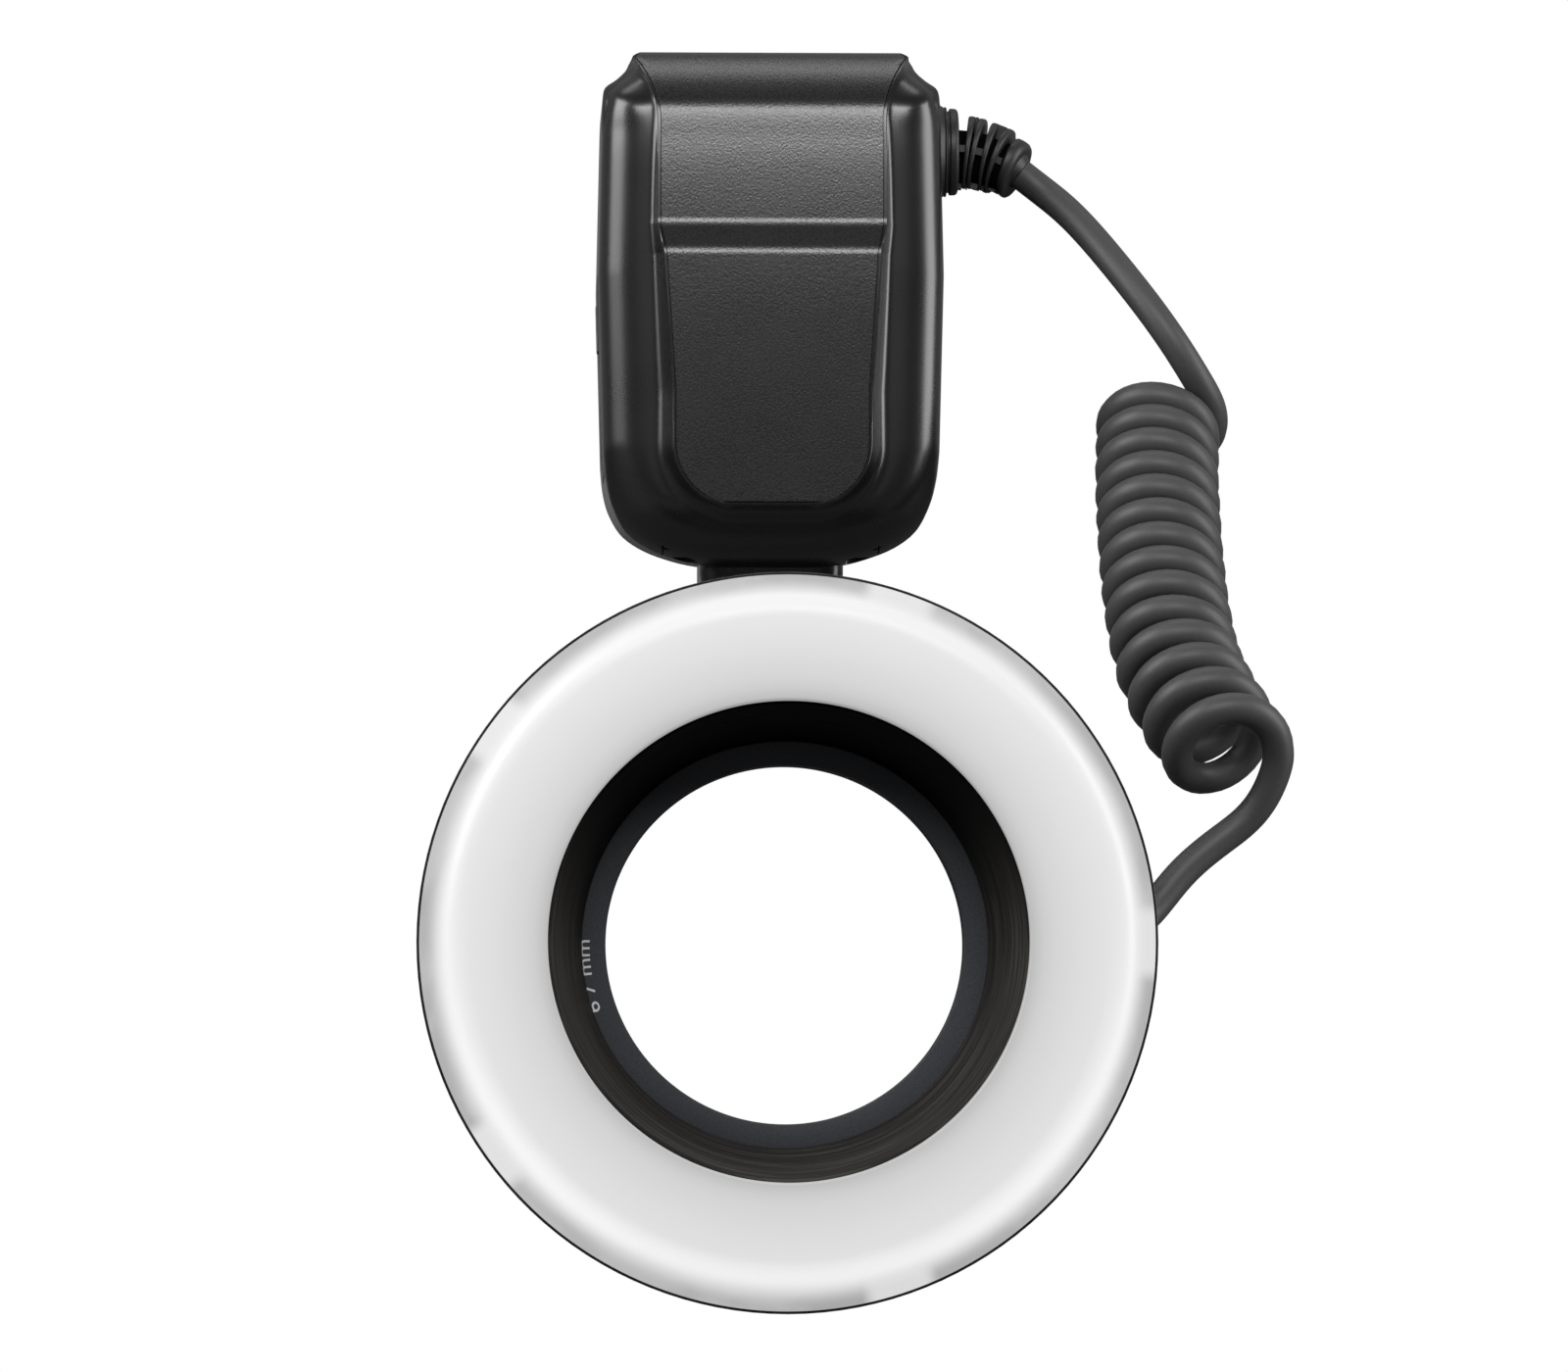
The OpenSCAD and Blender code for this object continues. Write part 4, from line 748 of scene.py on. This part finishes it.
# %% Side frames
outline = np.array([(case_half(z), z) for z in rows] + [(-case_half(z), z) for z in rows[::-1]])
outline_next = np.roll(outline, -1, axis=0)
outline_run = outline_next - outline
outline_len = np.maximum(np.linalg.norm(outline_run, axis=1), 1e-9)
half_widths = np.array([case_half(z) for z in rows])
round_zs, round_widths, round_depths = [20, 36, 96, 105], [11, 9, 9, 5.5], [12, 6.5, 6.5, 6]
blur_from, blur_tall, blur_most = 95, 6, 1.7


def frame_depths(places):
    """How far the side frames fall back: rounded towards the outline, and blurred at the top."""
    blur = blur_most * np.clip((places[:, 1] - blur_from) / blur_tall, 0, 1)
    radius_here = np.interp(places[:, 1], round_zs, round_widths)
    deep_here = np.interp(places[:, 1], round_zs, round_depths)
    total = 0
    # the blur is the mean of eight places round each one and of the place itself
    for turn in range(9):
        spread = blur * (0 if turn == 8 else 1)
        angle = math.pi * turn / 4
        here = places + np.stack([spread * math.cos(angle), spread * math.sin(angle)], axis=1)
        along = ((here[:, None] - outline) * outline_run).sum(axis=2) / outline_len**2
        foot = outline + np.clip(along, 0, 1)[..., None] * outline_run
        away = np.linalg.norm(foot - here[:, None], axis=2).min(axis=1)
        share = 1 - np.minimum(away / radius_here, 1)
        outside = np.abs(here[:, 0]) > np.interp(here[:, 1], rows, half_widths)
        share = np.where(outside | (here[:, 1] > case_high), 1, share)
        total = total + deep_here * (1 - np.sqrt(np.maximum(0, 1 - share**2)))
    return total / 9


print("outline:", len(outline), "points")


# %% Front shell grid
def front_y(x, z, fall):
    """The depth of the front at a place, where the side frame alone falls back by so much."""
    wide = max(bevel_width(z), 0.01)
    back = frame_face(z) + fall
    gap = tongue_gap(x, z)
    climb = max(0, (wide + lip - gap) / wide)
    ramp = climb**4 if climb < 1 else 1 + 4 * (climb - 1)
    deep = back + (tongue_y(z) - back) * soft_min(ramp, 1, 0.14)
    if pocket_low < z < pocket_high and gap < -0.01:
        deep += pocket_deep
    return deep


def grid_faces(row_count, column_count):
    """Faces of a grid of points that runs row by row."""
    return [(i + j, i + j + 1, i + j + 1 + column_count, i + j + column_count)
            for i in range(0, (row_count - 1) * column_count, column_count) for j in range(column_count - 1)]


grid = []
for z in rows:
    half = row_columns(z)
    across_row = [-x for x in half[:0:-1]] + half
    falls = frame_depths(np.array([(x, z) for x in across_row]))
    grid.append([(x, front_y(x, z, fall), z) for x, fall in zip(across_row, falls)])
columns = len(grid[0])
shell_points = [p for row in grid for p in row]
shell_faces = grid_faces(len(rows), columns)
print("front grid:", len(rows), "rows of", columns)

# %% Front shell skirt
underside_rise, underside_fade = 0.055, 19
rim_y = -15.8
middle_z = (case_low + case_high) / 2
half_wide, half_tall = 32, (case_high - case_low) / 2


def raised(points):
    """The case's points with its underside lifted a little towards the back."""
    lifted = []
    for x, y, z in points:
        share = min(1, max(0, (z - case_low) / underside_fade))
        lifted.append((x, y, z + underside_rise * max(0, y - rim_y) * (1 - 3 * share**2 + 2 * share**3)))
    return lifted


def drawn_in(x, y, z, shrink):
    """A point of the case's rim, drawn in towards the middle."""
    return (x * (1 - shrink / half_wide), y, middle_z + (z - middle_z) * (1 - shrink / half_tall))


def band(first, second):
    """Faces between two closed loops, given by the numbers of their points."""
    count = len(first)
    return [(first[k], first[(k + 1) % count], second[(k + 1) % count], second[k]) for k in range(count)]


def tower(loops, count):
    """Faces between closed loops of so many points, each of which follows the last."""
    faces = []
    for first in range(0, (loops - 1) * count, count):
        faces += band(range(first, first + count), range(first + count, first + 2 * count))
    return faces


rim = (list(range(columns)) + [i * columns + columns - 1 for i in range(1, len(rows))]
       + [(len(rows) - 1) * columns + j for j in range(columns - 2, -1, -1)]
       + [i * columns for i in range(len(rows) - 2, 0, -1)])
previous = rim
for share, shrink in ((0.1, 0), (0.3, 0), (0.6, 0), (0.985, 0), (1, 0.3)):
    loop = range(len(shell_points), len(shell_points) + len(rim))
    for v in rim:
        x, y, z = shell_points[v]
        shell_points.append(drawn_in(x, y + (seam_y - y) * share, z, shrink))
    shell_faces += band(previous, loop)
    previous = loop
shell_faces.append(tuple(previous))
front_shell = skin("front_shell_skin", [(raised(shell_points), shell_faces)], "case_black",
                   stands_for=["front_shell"])
print("front shell:", len(shell_faces), "faces before the cuts")

# %% Cutting tools
box_faces = [(0, 1, 3, 2), (4, 6, 7, 5), (0, 4, 5, 1), (2, 3, 7, 6), (0, 2, 6, 4), (1, 5, 7, 3)]


def block(low, high):
    """Points and faces of a box."""
    points = [(x, y, z) for x in (low[0], high[0]) for y in (low[1], high[1]) for z in (low[2], high[2])]
    return points, box_faces


def circle(sides):
    """Cosines and sines of evenly spread angles."""
    return [(math.cos(t), math.sin(t)) for t in np.linspace(0, 2 * math.pi, sides, endpoint=False)]


def rod(start_at, end_at, radius, sides=48):
    """Points and faces of a closed rod."""
    axis = unit(np.array(end_at, dtype=float) - np.array(start_at))
    side = unit(np.cross(axis, [0.3, 0.5, 0.8]))
    other = np.cross(axis, side)
    points = [tuple(np.array(centre) + radius * (c * side + s * other))
              for centre in (start_at, end_at) for c, s in circle(sides)]
    return points, tower(2, sides) + [tuple(range(sides))[::-1], tuple(range(sides, 2 * sides))]


def hollow(front, back):
    """The space inside the case between two depths, one wall inside its outline."""
    wall = 2.1
    levels = np.linspace(16.8, 103, 30)
    loop = [(case_half(z) - wall, z) for z in levels] + [(wall - case_half(z), z) for z in levels[::-1]]
    count = len(loop)
    points = [(x, y, z) for y in (front, back) for x, z in loop]
    return raised(points), tower(2, count) + [tuple(range(count)), tuple(range(2 * count - 1, count - 1, -1))]


def carve(piece, cuts):
    """Cut shapes out of a skin, for good."""
    cutters = []
    for points, faces in cuts:
        mesh = bpy.data.meshes.new("cutter")
        mesh.from_pydata([tuple(c * mm for c in p) for p in points], [], faces)
        shaped = bmesh.new()
        shaped.from_mesh(mesh)
        bmesh.ops.recalc_face_normals(shaped, faces=shaped.faces)
        shaped.to_mesh(mesh)
        shaped.free()
        cutter = show("cutter", mesh)
        cutters.append(cutter)
        cut = piece.modifiers.new("cut", "BOOLEAN")
        cut.operation = "DIFFERENCE"
        cut.solver = "EXACT"
        cut.object = cutter
    graph = bpy.context.evaluated_depsgraph_get()
    carved = bpy.data.meshes.new_from_object(piece.evaluated_get(graph))
    piece.modifiers.clear()
    piece.data = carved
    for cutter in cutters:
        bpy.data.objects.remove(cutter)
    carved.shade_smooth()
    carved.set_sharp_from_angle(angle=math.radians(38))


print("cutting tools ready")

# %% Front shell cuts
below_case = 10
screw_x, screw_hole_r = 16, 2.4
front_cuts = {
    "hollow": hollow(-21, seam_y + 1),
    "battery door": block((-60, -19.7, 30.7), (-24, 1.9, 69.3)),
    "port cover": block((31.3, -7, 31), (60, 7, 69)),
    "data socket": block((20, -0.6, 55.7), (40, 2.8, 64.9)),
    "sync socket": rod((20, 1.1, 44.8), (40, 1.1, 44.8), 3.5),
    "right screw": rod((screw_x, -17.4, below_case), (screw_x, -17.4, 17.5), screw_hole_r),
    "left screw": rod((-screw_x, -17.4, below_case), (-screw_x, -17.4, 17.5), screw_hole_r),
    "right slit": block((20.3, -26, below_case), (20.55, -9, 17.6)),
    "left slit": block((-20.55, -26, below_case), (-20.3, -9, 17.6)),
}
carve(front_shell, front_cuts.values())
print("front shell:", len(front_shell.data.polygons), "faces after", len(front_cuts), "cuts")

# %% [markdown]
# ## Rear shell
# The rear half closes the case behind the seam: the same outline, drawn back and rounded over into a flat
# back. Its openings repeat those of the solid: window, four keys, three round buttons, dial and switch.

# %% Rear shell
back_y, back_round = 24.0, 2.5
rear_loops = [(seam_y + 0.02, 0.3), (seam_y + 0.35, 0), (14, 0)]
rear_loops += [(back_y - back_round * (1 - math.sin(t)), back_round * (1 - math.cos(t)))
               for t in np.linspace(0, math.pi / 2, 9)]
rim_places = [shell_points[v] for v in rim]
rear_points = [drawn_in(x, y, z, shrink) for y, shrink in rear_loops for x, _, z in rim_places]
rear_faces = tower(len(rear_loops), len(rim))
rear_faces.append(tuple(range(len(rear_points) - len(rim), len(rear_points))))
rear_faces.append(tuple(range(len(rim)))[::-1])
rear_shell = skin("rear_shell_skin", [(raised(rear_points), rear_faces)], "case_black",
                  stands_for=["rear_shell"])
print("rear shell:", len(rear_faces), "faces before the cuts")


# %% Rear shell cuts
def centre(node):
    """Where the middle of a solid is, across and up."""
    low, high = (np.array(corner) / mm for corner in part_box(node))
    return (low[0] + high[0]) / 2, (low[2] + high[2]) / 2


def square_opening(x, z, wide, tall):
    """A box that is cut through the back."""
    return block((x - wide / 2, back_y - 6, z - tall / 2), (x + wide / 2, back_y + 2, z + tall / 2))


def round_opening(x, z, radius, deep=6, sides=48):
    """A round hole or recess in the back."""
    return rod((x, back_y - deep, z), (x, back_y + 3, z), radius, sides)


window_gap, window_deep = 0.1, 30
key_wide, key_tall, button_r = 9.6, 5.2, 4.3
low, high = (np.array(corner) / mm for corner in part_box("display_window"))
dial_x, dial_z = 0, 41.8
switch_x, switch_z = 23.5, 28.8
rear_cuts = [hollow(seam_y - 1, back_y - 2)]
rear_cuts.append(block((low[0] - window_gap, back_y - window_deep, low[2] - window_gap),
                       (high[0] + window_gap, back_y + 2, high[2] + window_gap)))
for number in range(1, 5):
    rear_cuts.append(square_opening(*centre("function_key_%d" % number), key_wide, key_tall))
for node in ("mode_button", "lock_button", "test_button"):
    rear_cuts.append(round_opening(*centre(node), button_r))
rear_cuts.append(round_opening(dial_x, dial_z, 15.3, 1.8, 96))
rear_cuts.append(round_opening(dial_x, dial_z, 5.3))
rear_cuts.append(square_opening(switch_x, switch_z, 14, 5.6))
rear_cuts += [rod((x, 15.4, below_case), (x, 15.4, 18.6), screw_hole_r) for x in (-screw_x, screw_x)]
carve(rear_shell, rear_cuts)
print("rear shell:", len(rear_cuts), "cuts")

# %% [markdown]
# ## Front panel
# The tongue's face is a separate sheet with a leather-like grain, set flush in the moulding with a hairline
# round it. It repeats the tongue's formula a fifth of a millimetre inside the edge. The grain is a bump made
# of small cells, because on the real one it is etched into the mould.

# %% Panel grain
grained, grained_shader, place = start("panel_grain", grey(0.02), IOR=1.65)
pebble = place.add("TexVoronoi", {"feature": "SMOOTH_F1"},
                   {"Vector": place, "Scale": 2600, "Smoothness": 0.6})
speck = noise(place, 2400, 3)
cloud = noise(place, 60, 2)
height = pebble + 0.8 * speck
lead_in(height.between(0.6, 1.2).blend(grey(0.014), grey(0.006)), grained_shader, "Base Color")
lead_in(0.28 + 0.1 * (speck - 0.5) + 0.05 * (cloud - 0.5), grained_shader, "Roughness")
emboss(height, grained_shader, 0.35, 0.00006, invert=True)
print("panel grain made")


# %% Front panel
def ease(share, soft):
    """A straight ramp from 0 to 1 whose two ends are rounded over the share soft."""
    def area(u):
        return 0 if u < 0 else u * u / 2 if u < 1 else u - 0.5
    return (area(share + soft) - area(share - soft)) / (2 * soft)


panel_gap, panel_sunk = 0.2, 0.2
panel_edge, edge_drop = 0.12, 0.1
panel_zs = [z for z in rows if pocket_low + 0.25 < z < pocket_high - 0.25]
panel_zs = [pocket_low + panel_gap] + panel_zs + [pocket_high - 0.02]
panel_points = []
for i, z in enumerate(panel_zs):
    half = tongue_half(z) - panel_gap
    inner = [half * s for s in np.linspace(-1, 1, 33)[1:-1]]
    xs = [-half, panel_edge - half] + inner + [half - panel_edge, half]
    deep = tongue_y(z) + panel_sunk * (1 - ease((z - 95) / 5, 0.2))
    panel_points += [(x, deep + (edge_drop if i == 0 or abs(x) == half else 0), z) for x in xs]
panel_faces = grid_faces(len(panel_zs), len(xs))
panel = skin("front_panel_skin", [(panel_points, panel_faces)], "panel_grain", stands_for=["front_panel"],
             finish=grained, inside=(0, 0, middle_z))
thick = panel.modifiers.new("sheet", "SOLIDIFY")
thick.thickness = 0.35 * mm
thick.offset = -1
print("front panel:", len(panel_points), "points")

# %% [markdown]
# ## Cable boot
# Where the cord leaves the controller a rubber boot keeps it from kinking. It is a collar, five ribs that
# shrink along a bend, and thin bars that tie the ribs together and leave open windows between them. A rib
# lies between two planes that turn with the bend, so it is a wedge, and the bars join one rib's plane to the
# next one's.

# %% Pieces of the boot
boot_y, boot_z, boot_foot_x = -6.0, 94.0, 32.1
boot_sides, boot_core_r = 96, 3
bend_x, bend_radius = 36.2, 19.0


def bend_at(angle, lean=None, yaw=0.0):
    """A matrix at an angle of the boot's bend, with z along it; lean and yaw turn its plane by themselves."""
    turn = math.radians(angle)
    spot = (bend_x + bend_radius * math.sin(turn), boot_y, boot_z - bend_radius * (1 - math.cos(turn)))
    down = 90 + (angle if lean is None else lean)
    return (Matrix.Translation(spot) @ Matrix.Rotation(math.radians(-yaw), 4, "Z")
            @ Matrix.Rotation(math.radians(down), 4, "Y"))


def moved(part, matrix):
    """Points and faces in another place."""
    return [tuple(matrix @ Vector(p)) for p in part[0]], part[1]


def boot_rib(start_at, end_at, outer, soft):
    """A rib between two planes of the bend, with a rounded rim."""
    profile = [(0, boot_core_r), (0, outer - soft), (0.06, outer - 0.45 * soft), (0.2, outer - 0.1 * soft),
               (0.4, outer), (0.6, outer), (0.8, outer - 0.1 * soft), (0.94, outer - 0.45 * soft),
               (1, outer - soft), (1, boot_core_r)]
    points = []
    for share, reach in profile:
        for c, s in circle(boot_sides):
            offset = Vector((reach * c, reach * s, 0))
            points.append(tuple((start_at @ offset).lerp(end_at @ offset, share)))
    return points, tower(len(profile), boot_sides)


def boot_bar(start_at, end_at, side, inner, outer, half):
    """A bar between two planes of the bend, on one side of the core."""
    points = []
    for here in (start_at, end_at):
        for reach in (inner, outer):
            for wide in (-half, half):
                offset = Vector((side[0] * reach + side[1] * wide, side[1] * reach - side[0] * wide, 0))
                points.append(tuple(here @ offset))
    return points, box_faces


def boot_tube(low, high, start_wide, end_wide, drop=0.0, sides=40, loops=14):
    """A tube along the bend between two angles; drop moves its middle towards the underside."""
    points = []
    for share in np.linspace(0, 1, loops):
        here = bend_at(low + (high - low) * share)
        wide = start_wide + (end_wide - start_wide) * share
        points += [tuple(here @ Vector((drop + wide * c, wide * s, 0))) for c, s in circle(sides)]
    return points, tower(loops, sides)


print("boot: bends by", bend_end, "degrees")

# %% Cable boot
collar_outline = [(0, -0.6), (10.4, -0.6), (9.7, -0.1), (9.15, 0.3), (8.8, 0.75)] + rounded([
    (8.6, 1.3, 0.3), (8.6, 1.75, 0.25), (7.8, 1.8, 0.1), (7.8, 2.25, 0.1), (8.3, 2.3, 0.3), (8.25, 3.95, 0.9),
    (5, 4.0, 0.2),
], 5)[:-1] + [(5, 4.0), (0, 4.0)]
collar_place = Matrix.Translation((boot_foot_x, boot_y, boot_z)) @ Matrix.Rotation(math.radians(90), 4, "Y")
boot_parts = [moved(lathe(collar_outline, boot_sides), collar_place)]
boot_ribs = [
    (bend_at(3.9, 6, 3), bend_at(7.3, 9, 5), 7.0), (bend_at(8.5, 10.5, 6), bend_at(12.2, 13.5, 9), 6.85),
    (bend_at(15.9, 12.5, 8), bend_at(19.4, 16, 10), 6.6), (bend_at(22.6, 20, 12), bend_at(25.9, 24, 14), 6.5),
    (bend_at(29, 20, 13), bend_at(37.3, 28, 18), 5.75),
]
last_end = bend_at(-1, 0, 0)
for i, (start_at, end_at, reach) in enumerate(boot_ribs):
    last_rib = i == len(boot_ribs) - 1
    boot_parts.append(boot_rib(start_at, end_at, reach, 1.0 if last_rib else 0.35))
    boot_parts.append(boot_bar(last_end, start_at, (1, 0), reach - 0.85, reach + 0.1, 2.0))
    if i % 2:
        boot_parts.append(boot_bar(last_end, start_at, (-1, 0), boot_core_r, reach - 0.1, 2.0))
    else:
        boot_parts += [boot_bar(last_end, start_at, (0, s), boot_core_r, reach - 0.2, 0.66) for s in (-1, 1)]
    last_end = end_at
boot_parts.append(boot_tube(31, bend_end, 4.6, 3.0))
skin("controller_boot_skin", boot_parts, "boot_rubber", stands_for=["controller_boot"])
# painted shade: a near-black inner tube fills the windows between the ribs
boot_inside_painted_shade = moulded("boot_inside_painted_shade", grey(0.002), 0.9, IOR=1.1)
skin("controller_boot_shade_core", [boot_tube(-4, 31, 5.2, 4.75, 0.95)], "boot_rubber", finish=boot_inside_painted_shade)
print("cable boot:", len(boot_ribs), "ribs")

# %% [markdown]
# ## Pieces whose solids are right
# Buttons, the dial, the foot and the latches have their true shape already. They need only what a mould
# gives them: rounded edges and a finish. The bevel is sized to each piece, because a button's edge is much
# finer than the foot's. Pieces that meet the case are moved a little, so that they follow its rounder skin.

# %% Dressed solids
finishes["window_glass"] = moulded("window_glass", grey(0.5), 0.07, 0.03, Transmission_Weight=0.85)
edge_sizes = {
    "ring_housing": 0.35, "ring_cable_boss": 0.4, "foot_block": 0.8, "foot_base": 0.5,
    "top_latch": 0.35, "bottom_latch": 0.35, "port_cover": 0.3, "ring_boot": 0.3, "display_window": 0.3,
    "battery_pack": 0.4, "battery_catch": 0.25, "selector_dial": 0.35, "set_button": 0.4, "power_switch": 0.3,
    "lock_lever": 0.4, "function_key_1": 0.35, "function_key_2": 0.35, "function_key_3": 0.35,
    "function_key_4": 0.35, "mode_button": 0.35, "lock_button": 0.35, "test_button": 0.35, "shoe_plate": 0.2,
    "case_screws": 0.1,
}


def flush(proud):
    """Moves the points near a side wall so that they stand a little proud of it."""
    def shift(x, y, z):
        return (math.copysign(min(abs(x), case_half(z) + proud), x), y, z)
    return shift


foot_wider, foot_top, foot_lift = 1.05, 13, 2.2
screw_lift = 1


def reach_case(x, y, z):
    """The foot is a little wider on the right, and its top follows the underside of the case."""
    return (x * foot_wider if x > 0 else x, y, z + foot_lift if z > foot_top else z)


def follow_underside(x, y, z):
    """The screws sit deeper where the underside is higher."""
    return (x, y, z + screw_lift + underside_rise * max(0, y - rim_y))


shifts = {"battery_pack": flush(0.12), "battery_catch": flush(0.5), "port_cover": flush(0.12),
          "foot_block": reach_case, "case_screws": follow_underside}
for node, size in edge_sizes.items():
    dress(node, size, shifts.get(node))
made_elsewhere = {"diffuser", "bore_cone", "adapter_ring", "front_shell", "rear_shell", "front_panel",
                  "controller_boot", "cord_upper_lead", "cord_coil", "cord_lower_lead"}
kept = [n for n in frame["nodes"] if n not in edge_sizes and n not in made_elsewhere]
for node in kept:
    for material_slot in frame["nodes"][node].material_slots:
        material_slot.link = "OBJECT"
        material_slot.material = finishes[node_slot[node]]
print("dressed:", len(edge_sizes), "solids;", len(kept), "kept with a new finish")

# %% [markdown]
# ## Background
# The object stands before pure white. The world shows white to the camera and through glass, and lights the
# object only faintly, more from behind than from the front, as a white sweep does. So black plastic stays
# black and shows the shape of the lamps instead. The floor is paper that does the same.


# %% Background
def seen(wire):
    """1 for rays from the camera and through glass, 0 for all others."""
    rays = wire.add("LightPath")
    return rays.math("MAXIMUM", rays, rays.output("Is Transmission Ray"))


world = bpy.data.worlds.new("white_sweep")
world.use_nodes = True
scene.world = world
place = Wire(world.node_tree).add("TexCoord")
behind = place.add("SeparateXYZ", {}, {0: place}).output("Y").between(-0.15, 0.45)
ambient = behind.blend(grey(0.085), grey(0.3))
lead_in(seen(place).blend(ambient, grey(1.0)), world.node_tree.nodes["Background"], "Color")
print("background ready")

# %% Floor
floor_mesh = bpy.data.meshes.new("floor")
floor_z, floor_half = -0.19, 6.0
floor_corners = [(floor_half * x, floor_half * y, floor_z) for x, y in ((-1, -1), (1, -1), (1, 1), (-1, 1))]
floor_mesh.from_pydata(floor_corners, [], [(0, 1, 2, 3)])
floor = show("floor", floor_mesh)
paper, paper_shader, place = start("white_paper", grey(0.08), Roughness=0.8)
white = place.add("Emission", {}, {"Color": grey(1.0), "Strength": 1.0})
far_off = place.add("VectorMath", {"operation": "LENGTH"}, {0: place}, out="Value")
# near the object the paper stays a little less than white by itself, so that it shows the shadow
glow = 0.86 + 0.14 * far_off.between(0.7, 2.2)
plain = Wire(place.tree, paper_shader.outputs[0])
mixed = place.add("MixShader", {}, {0: glow * seen(place), 1: plain, 2: white})
lead_in(mixed, paper.node_tree.nodes["Material Output"], "Surface")
floor_mesh.materials.append(paper)
print("floor:", 2 * floor_half, "m wide")

# %% [markdown]
# ## Lamps
# One large soft lamp above the camera lights the milky ring and glides down the grained panel. Two broad
# strips at the sides draw the bright edges of the side frames, and a faint one overhead draws the top edge.
# Their power comes from the distance: a white card that faces a lamp of pi squared watts a metre away renders
# as white.


# %% Lamps
def lamp(name, spot, target, wide, tall, level):
    """A soft lamp that lights a facing card at the target to a level, where 1 is white."""
    data = bpy.data.lights.new(name, "AREA")
    data.shape = "RECTANGLE"
    data.size = wide
    data.size_y = tall
    data.energy = level * math.pi**2 * (Vector(spot) - Vector(target)).length ** 2
    item = show(name, data)
    item.location = spot
    item.rotation_euler = (Vector(target) - Vector(spot)).to_track_quat("-Z", "Y").to_euler()


middle = (0, -0.08, -0.01)
lamp("key_softbox", (0.05, -1.25, 0.70), middle, 0.9, 0.3, 0.52)
lamp("left_strip", (-0.91, -0.45, 0.56), middle, 0.7, 0.8, 1.0)
lamp("right_strip", (1.0, -0.28, 0.25), middle, 0.52, 0.9, 0.74)
lamp("top_strip", (0, 0.14, 1.0), middle, 0.8, 0.16, 0.12)
print("lamps: one softbox and three strips")
